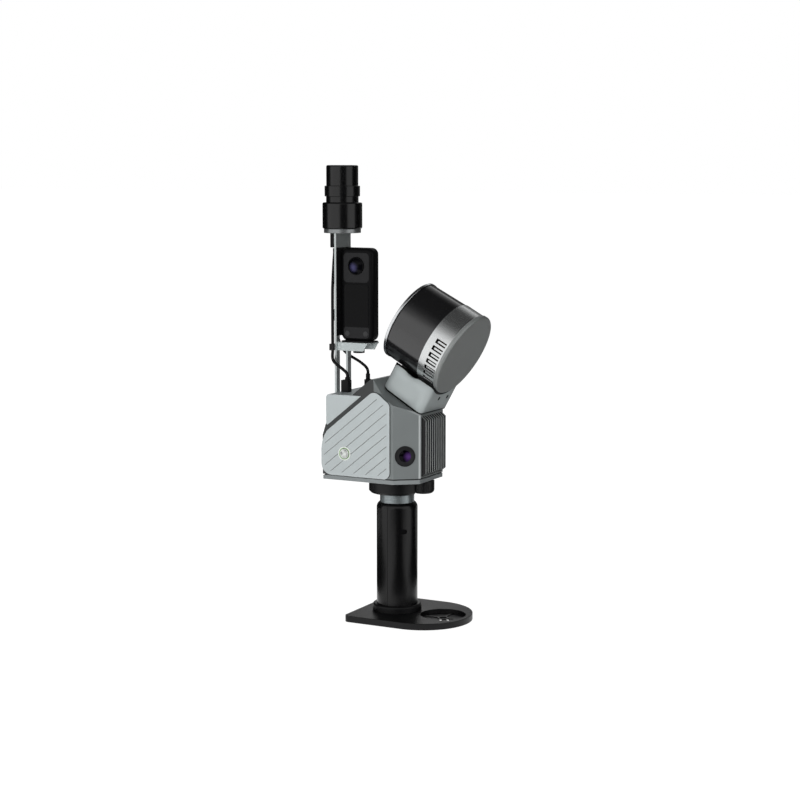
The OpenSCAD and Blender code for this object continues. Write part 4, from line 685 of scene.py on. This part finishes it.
floor_paint, floor_tree = plain_material("pale_floor")[:2]
floor_tree.nodes.remove(floor_tree.nodes["Principled BSDF"])
far_out = vector_node(floor_tree, "LENGTH", place_on(floor_tree))
glow = floor_tree.nodes.new("ShaderNodeEmission")
floor_tree.links.new(spread(floor_tree, far_out, GLOW_NEAR, GLOW_FAR, NEAR_END, FAR_END),
                     glow.inputs["Strength"])
lit = floor_tree.nodes.new("ShaderNodeAddShader")
floor_tree.links.new(matt(floor_tree, FLOOR_THIN), lit.inputs[0])
floor_tree.links.new(glow.outputs[0], lit.inputs[1])
blend_shaders(floor_tree, seen_directly(floor_tree), matt(floor_tree, FLOOR_GREY), lit.outputs[0],
              floor_tree.nodes["Material Output"].inputs["Surface"])
flat_sheet("studio_floor", (0, 0, 0), (FLOOR_HALF, 0, 0), (0, FLOOR_HALF, 0), floor_paint)
print("floor:", 2 * FLOOR_HALF, "m wide")

# %% Dark cards for the mirrors
def card_paint(name, grey, fades=()):
    """A card that gives back one grey. Each fade is (start, end, grey): from the line y = start to the line
    y = end of the floor plan the card turns evenly to that other grey."""
    paint, tree, shader = plain_material(name)
    give(tree, shader, Base_Color=(0.0, 0.0, 0.0, 1.0), Specular_IOR_Level=0.0,
         Emission_Color=(grey, grey, grey, 1.0), Emission_Strength=1.0)
    colour = (grey, grey, grey)
    for start, end, other in fades:
        along = spread(tree, parts_of(tree, place_on(tree))["Y"], 0.0, 1.0, start, end, smooth=True)
        colour = colour_mix(tree, along, colour, (other, other, other))
        tree.links.new(colour, shader["Emission Color"])
    return paint


def standing(turn, away, middle, half_wide, half_high):
    """An upright card: its centre, half its width and half its height."""
    return sideways(turn, away) + middle * UPRIGHT, sideways(turn + 90, half_wide), half_high * UPRIGHT


def lying(turn, away, height, half_wide, half_long):
    """A card just over the floor: its centre, half its width and half its length away from the scanner."""
    return sideways(turn, away) + height * UPRIGHT, sideways(turn + 90, half_wide), sideways(turn, half_long)


card_black, card_dim = card_paint("dark_card", 0.012), card_paint("dim_card", 0.11)
card_grey = card_paint("grey_card", 0.4)
card_faded = card_paint("faded_card", 0.03, [(-0.4, -2.3, 1.0), (0.6, 1.7, 0.55)])
CARDS = [
    ("card_above", card_faded, (0.0, -0.3, 1.5), (1.6, 0, 0), (0, 2.0, 0)),
    ("card_left", card_black, (-0.34, 0.2, 0.004), (0.22, 0, 0), (0, 0.44, 0)),
    ("card_on_floor", card_grey, (0.3, 0.75, 0.004), (0.8, 0, 0), (0, 0.45, 0)),
    ("card_camera", card_black, *standing(36, 2.9, 0.6, 1.2, 0.6)),
    ("card_camera_floor", card_black, *lying(36, 1.7, 0.004, 0.7, 1.2)),
    ("card_camera_near", card_black, *lying(40, 0.33, 0.005, 0.12, 0.22)),
    ("card_floor_back", card_black, (-0.62, 0.95, 0.007), (0.5, 0, 0), (0, 0.75, 0)),
    ("card_floor_right", card_black, *lying(134, 0.44, 0.007, 0.17, 0.3)),
    ("card_edge_left", card_black, *standing(-96, 0.62, 0.46, 0.36, 0.45)),
    ("card_edge_right", card_black, *standing(132, 0.62, 0.46, 0.3, 0.45)),
    ("card_behind", card_dim, *standing(160, 1.7, 0.7, 1.6, 0.7)),
    ("card_far_left", card_dim, *standing(-118, 1.7, 0.7, 1.0, 0.7)),
]
for card_name, card_finish, centre, half_across, half_along in CARDS:
    card = flat_sheet(card_name, centre, half_across, half_along, card_finish)
    card.visible_camera = card.visible_diffuse = card.visible_shadow = card.visible_transmission = False
print("stage: lamps, floor and", len(CARDS), "cards")

# %% [markdown]
# ## The CAD pieces
#
# Most of the casing keeps its CAD shape. Real edges are never razor sharp: a casing's edge is rounded by
# half a millimetre to two and a small part's by less. A bevel on the outer pieces catches the light there;
# the lidar's front disc, the small screws and what lies inside have none. The CAD mesh itself stays as it
# is: the modifiers join its loose triangles, clear its flat faces and round its edges.

# %% Finishes and edges on the CAD nodes
WELD_GAP, FLAT_DEGREES, EDGE_DEGREES, FLAT_WEIGHT = 2e-6, 0.6, 25, 80


def dress(material, edge, *names, steps=2):
    """Gives CAD nodes a finish and rounds their edges by a width in millimetres."""
    for name in names:
        node = nodes[name]
        node.data.materials.clear()
        node.data.materials.append(material)
        if edge:
            weld = node.modifiers.new("join", "WELD")
            weld.merge_threshold = WELD_GAP
            flat = node.modifiers.new("flat_faces", "DECIMATE")
            flat.decimate_type = "DISSOLVE"
            flat.angle_limit = math.radians(FLAT_DEGREES)
            soft = node.modifiers.new("soft_edges", "BEVEL")
            soft.width = edge * MM
            soft.segments = steps
            soft.limit_method = "ANGLE"
            soft.angle_limit = math.radians(EDGE_DEGREES)
            soft.harden_normals = False
            even = node.modifiers.new("even_shading", "WEIGHTED_NORMAL")
            even.keep_sharp = False
            even.weight = FLAT_WEIGHT


dress(panel_paint, 0.6, "rear_module_housing")
dress(right_panel_paint, 0.4, "side_panel_right")
dress(left_panel_paint, 0.4, "side_panel_left")
dress(casing_paint, 1.4, "main_shell", steps=3)
dress(cover_paint, 0.6, "bottom_cover")
dress(neck_paint, 2.0, "neck_housing", steps=3)
dress(disc_paint, 0.0, "lidar_front_disc")
dress(band_metal, 0.25, "lidar_base_housing")
dress(window_black, 0.3, "lidar_window")
dress(rim_metal, 0.5, "lidar_rear_cap")
dress(sheet_metal, 0.3, "mast_plate")
dress(tray_paint, 0.4, "camera_tray")
dress(collar_metal, 0.4, "grip_collar")
dress(flange_metal, 0.5, "antenna_flange")
dress(sink_metal, 0.5, "front_heat_sink")
dress(base_black, 0.9, "base_plate")
dress(base_black, 0.3, "grip_foot_flange")
dress(plastic_black, 0.3, "sighting_reticle", "coupling_block", "coupling_knob", "cable_clip",
      "camera_screw")
dress(grip_black, 0.6, "grip_front_shell", "grip_rear_shell")
dress(press_black, 0.3, "grip_button")
dress(antenna_black, 0.4, "antenna_base", "antenna_radome")
dress(rubber_black, 0.4, "antenna_connector", "camera_pad", "antenna_plug", "camera_cable_plugs")
dress(screen_black, 0.15, "camera_screen")
dress(key_grey, 0.2, "camera_shutter_button", "camera_mode_button")
dress(camera_black, 0.4, "camera_body")
dress(ring_black, 0.3, "lens_bezels", "camera_lenses", "scan_lenses")
dress(steel_bright, 0.2, "power_button", "power_switch_body")
dress(board_green, 0.0, "grip_switch_board", "camera_modules", "main_circuit_board", "positioning_board")
dress(chip_black, 0.0, "compute_module", "battery_holders", "lidar_rotor", "lidar_optics")
dress(steel_bright, 0.0, "motion_sensor", "lidar_shaft", "lidar_bearings", "base_screws",
      "coupling_screws", "cover_screws")
dress(steel_dark, 0.0, "mast_screws")
dress(press_black, 0.0, "neck_screws")
dress(copper, 0.0, "lidar_motor")
dress(cell_blue, 0.0, "battery_cells")
print("dressed nodes:", sum(len(n.data.materials) > 0 for n in nodes.values()))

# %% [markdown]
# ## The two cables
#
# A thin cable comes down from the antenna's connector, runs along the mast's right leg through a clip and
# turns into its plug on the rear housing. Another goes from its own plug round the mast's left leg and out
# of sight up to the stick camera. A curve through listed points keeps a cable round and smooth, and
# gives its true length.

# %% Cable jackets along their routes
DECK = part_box("rear_module_housing")[1].z
ANTENNA_ROUTE = np.array([
    [-87, 0, 173.6], [-87, 0, 167], [-86.6, -2, 159], [-85, -6, 149], [-82.6, -11.4, 138],
    [-80.6, -16, 126], [-79.6, -18, 113], [-79.3, -18.6, 100], [-79.3, -18.6, 86], [-79.3, -18.6, 72],
    [-79.3, -18.6, 60], [-79.3, -18.6, 49], [-79.2, -19.4, 44.4], [-78, -21, 40.2],
    [-75.6, -22.2, 36.8], [-72, -22.5, 33.8], [-68.2, -22.2, 31], [-64.6, -21.6, 28.4],
    [-61.4, -20.9, 25.8], [-58.9, -20.2, 23.2], [-58, -20, 20.6], [-58, -20, 18]]) * MM
CAMERA_ROUTE = np.array([
    [-55, 26.5, 18], [-55, 26.5, 21], [-56.1, 26.4, 24.2], [-58.4, 26.2, 27], [-61.4, 25.9, 29.4],
    [-64.8, 25.5, 31.8], [-68.4, 25, 34], [-72.4, 24.2, 36.2], [-76.4, 23, 38.6], [-80, 21, 41.4],
    [-82.6, 18, 44.8], [-84, 14, 49], [-84.6, 9.8, 54], [-84.6, 6, 60], [-84.6, 3, 66.4],
    [-84.6, 1, 73], [-84.6, 0.5, 79], [-84.6, 0.5, 85]]) * MM


def through(points, steps=5):
    """A smooth line through all points: on each span, a cubic whose slope at a point is half the step
    between its two neighbours."""
    ends = np.vstack([2 * points[0] - points[1], points, 2 * points[-1] - points[-2]])
    p0, p1, p2, p3 = ends[:-3], ends[1:-2], ends[2:-1], ends[3:]
    t = np.linspace(0, 1, steps, endpoint=False)[None, :, None]
    p0, p1, p2, p3 = (p[:, None, :] for p in (p0, p1, p2, p3))
    line = 0.5 * (2 * p1 + (p2 - p0) * t + (2 * p0 - 5 * p1 + 4 * p2 - p3) * t ** 2
                  + (3 * p1 - p0 - 3 * p2 + p3) * t ** 3)
    return np.vstack([line.reshape(-1, 3), points[-1:]])


def cable(name, route, diameter, node):
    """A round jacket along a route that takes the place of the CAD cable node."""
    line = through(route + np.array([0, 0, DECK]))
    curve = bpy.data.curves.new(name, "CURVE")
    curve.dimensions = "3D"
    curve.bevel_depth = diameter / 2
    curve.bevel_resolution = 4
    curve.use_fill_caps = True
    spline = curve.splines.new("POLY")
    spline.points.add(len(line) - 1)
    spline.points.foreach_set("co", np.hstack([line, np.ones((len(line), 1))]).ravel())
    spline.use_smooth = True
    curve.materials.append(rubber_black)
    piece = bpy.data.objects.new(name, curve)
    scene.collection.objects.link(piece)
    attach(piece, "scanner")
    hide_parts(node)


cable("antenna_cable_jacket", ANTENNA_ROUTE, 0.0038, "antenna_cable")
cable("camera_cable_jacket", CAMERA_ROUTE, 0.0036, "camera_cable")

# %% [markdown]
# ## The heat sink's fins
#
# The front of the body is a cast heat sink. Its fins stand proud of the casing and run out at a slant
# at both ends, so the casting leaves its mould. The CAD ribs are plain slabs. Here each fin is a stack of
# four-cornered rows that narrow towards the tip, which rounds the long edges.

# %% Ten fins with slanted ends
FIN_COUNT, FIN_PITCH, FIN_WIDE, FIN_DEEP, FIN_SLANT = 10, 5.7, 2.9, 5.6, 4.4
FIN_LOW, FIN_HIGH, FIN_FOOT, FIN_SINK = 180.6, 252.6, 47.5, 0.6
SHOULDER_DROP, BROW_DROP, SHOULDER_HALF, BROW_HALF, TIP_HALF = 0.9, 0.3, 0.5, 0.44, 0.28


def fin(middle):
    """Rows at x = foot + rise, each with corners (y = middle +- half width, z = low + slant * rise / deep
    and z = high - slant * rise / deep). The first and last rows close on the fin's middle line."""
    rise = np.array([-FIN_SINK, -FIN_SINK, 0.0, FIN_DEEP - SHOULDER_DROP, FIN_DEEP - BROW_DROP, FIN_DEEP,
                     FIN_DEEP])
    half = np.array([0.0, *[SHOULDER_HALF] * 3, BROW_HALF, TIP_HALF, 0.0]) * FIN_WIDE
    low = FIN_LOW + FIN_SLANT * np.maximum(rise, 0.0) / FIN_DEEP
    high = FIN_HIGH + FIN_LOW - low
    low[[0, -1]] = high[[0, -1]] = (FIN_LOW + FIN_HIGH) / 2
    y = middle + half[:, None] * np.array([-1, 1, 1, -1])
    z = np.stack([low, low, high, high], 1)
    x = np.repeat(FIN_FOOT + rise[:, None], 4, 1)
    return np.stack([x, y, z], 2) * MM


fins = [fin((k - (FIN_COUNT - 1) / 2) * FIN_PITCH) for k in range(FIN_COUNT)]
put("heat_sink_fins", fins, fin_metal)

# %% [markdown]
# ## The lidar's rear rim
#
# The dark window ends in a bright turned rim, with a thin black seal between the two. The CAD cap is a
# plain disc. Two profiles turned round the lidar's axis give the rim its round edge and its shallow back,
# and the seal its line.

# %% Rim and seal behind the window
WINDOW_END, WINDOW_END_R = -79.0, 50.2
RIM_R, RIM_LONG, RIM_LIP, RIM_HOLLOW, RIM_SLOPE = 50.9, 4.2, 4.0, 0.8, 1.0
SEAL_LONG, SEAL_SEEN, SEAL_PROUD, SEAL_IN, RIM_SPIGOT = 0.9, 0.8, 0.3, 3.0, 0.4
LIDAR_COLUMNS = 128
spigot_r, spigot_end = WINDOW_END_R - RIM_SPIGOT, WINDOW_END - 0.2
rim_start, rim_end = WINDOW_END - SEAL_SEEN, WINDOW_END - RIM_LONG
hollow_r, hollow_end = RIM_R - RIM_LIP - RIM_SLOPE, rim_end + RIM_HOLLOW
rim_corners = [(0.0, spigot_end), (spigot_r, spigot_end), (spigot_r, rim_start), (RIM_R, rim_start),
               (RIM_R, rim_end), (RIM_R - RIM_LIP, rim_end), (hollow_r, hollow_end), (0.0, hollow_end)]
seal_in, seal_out, seal_end = WINDOW_END_R - SEAL_IN, WINDOW_END_R + SEAL_PROUD, WINDOW_END - SEAL_LONG
seal_corners = [(seal_in, seal_end), (seal_in, WINDOW_END), (seal_out, WINDOW_END),
                (seal_out, seal_end), (seal_in, seal_end)]
rim = turned(rounded(rim_corners, 0.7) * MM, LIDAR_MID, LIDAR_AXIS, LIDAR_COLUMNS)
seal = turned(rounded(seal_corners, 0.2) * MM, LIDAR_MID, LIDAR_AXIS, LIDAR_COLUMNS)
put("lidar_rear_rim", [rim], rim_metal, ["lidar_rear_cap"])
put("lidar_rim_seal", [seal], barrel_black)

# %% [markdown]
# ## The scanning cameras
#
# A camera looks out of each front chamfer. Its bezel is a turned black ring that funnels down to a round
# glass. The glass of such a lens is hollow on the outside and has a coating, so it throws back a purple spot
# of the lamp on its far side and stays dark on the other. Here a ring and a hollow disc are turned round the
# lens axis, and that purple spot is a painted reflection in the glass's colour.

# %% Bezels and glass with a painted reflection on the chamfers
SCAN_PLACE = np.array([33.0, 42.5, 206.5])
SCAN_OUT = np.array([0.621, 0.783, 0.0])
BEZEL_R, BEZEL_PROUD, FUNNEL_R, GLASS_R, GLASS_DEEP, GLASS_HOLLOW = 12.4, 1.6, 10.2, 7.2, 2.3, 1.2


def bowl(radius, rise, rim_height, steps=14):
    """A round dome, or a hollow if rise is negative: the height is rim_height + rise (1 - (r / radius)^2)."""
    r = np.linspace(radius, 0.0, steps)
    return np.stack([r, rim_height + rise * (1 - (r / radius) ** 2)], 1)


BEZEL_SINK, STEP_WIDE, STEP_HIGH, STEP_LOW, GLASS_SEAT, GLASS_LAP = 0.4, 0.7, 0.4, 0.2, 0.6, 0.1
bezel_back, glass_edge = -GLASS_DEEP - GLASS_SEAT, GLASS_R + GLASS_LAP
bezel_corners = [(BEZEL_R, -BEZEL_SINK), (BEZEL_R, BEZEL_PROUD), (FUNNEL_R, BEZEL_PROUD),
                 (GLASS_R + STEP_WIDE, STEP_HIGH), (GLASS_R, STEP_LOW), (GLASS_R, bezel_back)]
bezel_profile = np.vstack([rounded(bezel_corners, 0.5), [(BEZEL_R, bezel_back), (BEZEL_R, -BEZEL_SINK)]])
glass_profile = np.vstack([[(0.0, -GLASS_DEEP), (glass_edge, -GLASS_DEEP)],
                           bowl(glass_edge, -GLASS_HOLLOW, 0.0)])
bezels, glasses = [], []
for side in (-1.0, 1.0):
    place = SCAN_PLACE * (1, side, 1) * MM
    out = SCAN_OUT * (1, side, 1)
    bezels.append(turned(bezel_profile * MM, place, out, columns=72))
    glasses.append(turned(glass_profile * MM, place, out, columns=48))
put("scan_camera_bezels", bezels, ring_black, ["lens_bezels"], smooth_angle=50.0)
put("scan_camera_glass", glasses, scan_glass_reflection_paint, ["scan_lenses"], smooth_angle=50.0)

# %% [markdown]
# ## The stick camera
#
# The camera on the tray is a moulded stick with round corners, made as two half shells. Its upper third
# carries a lens on both faces and has a rougher black than the screen below. An outline with round
# corners, carried along the depth and drawn in at both ends, gives the case and its thin plates.

# %% A box with round corners, as a grid
def moulded(centre, right, up, width, height, corner, profile, corner_steps=8):
    """Rounded rectangles stacked along right x up. Each profile row is (inset, rise): the outline is
    drawn in by the inset and lifted by the rise. The first and last rows close on the centre."""
    right, up = np.asarray(right, float), np.asarray(up, float)
    out = np.cross(right, up)
    profile = np.asarray(profile, float)
    turn = np.radians(np.linspace(0, 90, corner_steps))
    angle = (turn[None, :] + np.radians([0, 90, 180, 270])[:, None]).ravel()
    quarter = np.repeat(np.array([[1, 1], [-1, 1], [-1, -1], [1, -1]], float), corner_steps, 0)
    inset = profile[:, 0][:, None]
    radius = np.maximum(corner - inset, 0.05)
    x = quarter[:, 0] * (width / 2 - inset - radius) + radius * np.cos(angle)
    y = quarter[:, 1] * (height / 2 - inset - radius) + radius * np.sin(angle)
    x[[0, -1]] = 0.0
    y[[0, -1]] = 0.0
    flat = x[:, :, None] * right + y[:, :, None] * up
    return (np.asarray(centre, float) + flat + profile[:, 1][:, None, None] * out) * MM


def round_edge(radius, height, turn_in, steps=6):
    """Rows of (inset, rise) that round an edge by a radius below a height; turn_in flips it for the
    lower edge."""
    a = np.radians(np.linspace(0, 90, steps))
    rows = np.stack([radius * (1 - np.cos(a)), height - radius + radius * np.sin(a)], 1)
    if turn_in:
        rows = np.stack([rows[:, 0], -rows[:, 1]], 1)[::-1]
    return rows


def plate_rows(below, thick, inset, drop):
    """Rows of a thin plate that starts below a face and ends above it, with its upper edge cut off by an
    inset over a drop."""
    return [(0, -below), (0, -below), (0, thick - drop), (inset, thick), (0, thick)]


# %% Case, lens plates and lenses of the stick camera
case_low, case_high = (np.array(v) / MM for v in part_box("camera_body"))
case_mid = (case_low + case_high) / 2
case_wide, case_deep, case_tall = case_high - case_low
CASE_CORNER, CASE_EDGE = 8.0, 5.0
RIGHT, UP = (1, 0, 0), (0, 0, 1)
half_deep = case_deep / 2
case_rows = np.vstack([[(0, -half_deep)], round_edge(CASE_EDGE, half_deep, True),
                       round_edge(CASE_EDGE, half_deep, False), [(0, half_deep)]])
case = moulded(case_mid, RIGHT, UP, case_wide, case_tall, CASE_CORNER, case_rows)
put("stick_camera_case", [case], camera_black, ["camera_body"])

ZONE_WIDE, ZONE_TALL, ZONE_DROP, ZONE_THICK = 35.0, 36.0, 6.0, 0.35
PLATE_SINK, PLATE_CORNER = 0.4, 5.0
zone_rows = plate_rows(PLATE_SINK, ZONE_THICK, 0.2, 0.2)
LENS_HIGH, LENS_RING_R, LENS_GLASS_R, DOME_SINK, DOME_FOOT, DOME_RISE = 91.6, 11.0, 9.5, 0.2, 1.0, 3.6
RING_BELOW, RING_SIDE, RING_TOP, RING_SLOPE = 0.3, 1.0, 1.6, 0.6
LIP_WIDE, LIP_HIGH, LIP_LOW = 0.3, 1.2, 0.6
ring_corners = [(LENS_RING_R, -RING_BELOW), (LENS_RING_R, RING_SIDE), (LENS_RING_R - RING_SLOPE, RING_TOP),
                (LENS_GLASS_R + LIP_WIDE, RING_TOP), (LENS_GLASS_R, LIP_HIGH), (LENS_GLASS_R, LIP_LOW)]
ring_profile = np.vstack([rounded(ring_corners, 0.4),
                          [(LENS_GLASS_R, -RING_BELOW), (LENS_RING_R, -RING_BELOW)]])
dome_profile = np.vstack([[(0.0, -DOME_SINK), (LENS_GLASS_R, -DOME_SINK)],
                          bowl(LENS_GLASS_R, DOME_RISE, DOME_FOOT, 20)])
zones, rings, domes = [], [], []
for side in (-1.0, 1.0):
    face = case_mid * (1, 0, 1) + np.array([0, side * half_deep, 0])
    zone_mid = face + np.array([0, 0, case_tall / 2 - ZONE_DROP - ZONE_TALL / 2])
    lens_mid = np.array([case_mid[0], side * (half_deep + ZONE_THICK), case_low[2] + LENS_HIGH])
    zones.append(moulded(zone_mid, (-side, 0, 0), UP, ZONE_WIDE, ZONE_TALL, PLATE_CORNER, zone_rows))
    rings.append(turned(ring_profile * MM, lens_mid * MM, (0, side, 0), columns=72))
    domes.append(turned(dome_profile * MM, lens_mid * MM, (0, side, 0), columns=56))
CHIN_TALL, CHIN_RISE, CHIN_THICK = 15.0, 3.5, 0.15
chin_mid = case_mid * (1, 0, 1) + np.array([0, -half_deep, CHIN_RISE + (CHIN_TALL - case_tall) / 2])
chin_rows = plate_rows(PLATE_SINK, CHIN_THICK, 0.1, 0.1)
zones.append(moulded(chin_mid, RIGHT, UP, ZONE_WIDE, CHIN_TALL, PLATE_CORNER, chin_rows))
put("lens_zone_plates", zones, zone_black)
put("stick_camera_lens_rings", rings, barrel_black, ["camera_lenses"], smooth_angle=50.0)
put("stick_camera_lens_domes", domes, dome_glass_reflection_paint, smooth_angle=50.0)

# %% [markdown]
# ## The push button
#
# The power button is a turned steel cap inside a lit ring. Its face is a shallow hollow, so it mirrors the
# dark cards as grey spots between bright wedges, and the lathe's fine rings draw them out a little. The ring
# is a milky plastic moulding with a small light behind its inner edge, and a pale rim round it.

# %% Turned cap and lit ring
BUTTON_R, SWITCH_R, SWITCH_PROUD = 6.1, 8.5, 0.8
CAP_DEEP, CAP_LAND, CAP_HOLLOW, RING_GAP, RING_SINK = 2.4, 0.9, 1.4, 0.3, 0.4
dish_r, ring_in = BUTTON_R - CAP_LAND, BUTTON_R + RING_GAP
cap_corners = [(0.0, -CAP_DEEP), (BUTTON_R, -CAP_DEEP), (BUTTON_R, CAP_PROUD), (dish_r, CAP_PROUD)]
cap_profile = np.vstack([rounded(cap_corners, 0.5), bowl(dish_r, -CAP_HOLLOW, CAP_PROUD)])
cap = turned(cap_profile * MM, BUTTON_PLACE * MM, BUTTON_OUT)
put("power_button_cap", [cap], turned_steel, ["power_button"], body="power_button")
glow_corners = [(ring_in, -RING_SINK), (SWITCH_R, -RING_SINK), (SWITCH_R, SWITCH_PROUD),
                (ring_in, SWITCH_PROUD), (ring_in, -RING_SINK)]
light_ring = turned(rounded(glow_corners, 0.4) * MM, BUTTON_PLACE * MM, BUTTON_OUT)
put("power_ring_light", [light_ring], ring_glow, ["power_switch_body"])

# %% [markdown]
# ## The index marks on the base
#
# Two small white marks sit on the near rim of the sighting recess, where the user lines the
# scanner up with a point on the ground. They are small white inlays, a little proud of the plate.

# %% White marks on the recess rim
BASE_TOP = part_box("base_plate")[1].z / MM
SIGHT_MID, SIGHT_R = np.array([63.3, 0.0]), 27.6
MARK_WIDE, MARK_LONG, MARK_THICK, MARK_AWAY, MARK_TURNS = 2.4, 4.2, 0.7, 0.8, (-69.0, -53.0)
mark_rows = plate_rows(0.1, MARK_THICK, 0.1, 0.08)
marks = []
for mark_turn in MARK_TURNS:
    a = math.radians(mark_turn)
    along = np.array([math.cos(a), math.sin(a), 0.0])
    middle = np.array([*SIGHT_MID, BASE_TOP]) + along * (SIGHT_R + MARK_AWAY + MARK_LONG / 2)
    marks.append(moulded(middle, (-along[1], along[0], 0), -along, MARK_WIDE, MARK_LONG, 0.6, mark_rows))
put("sight_index_marks", marks, mark_white)
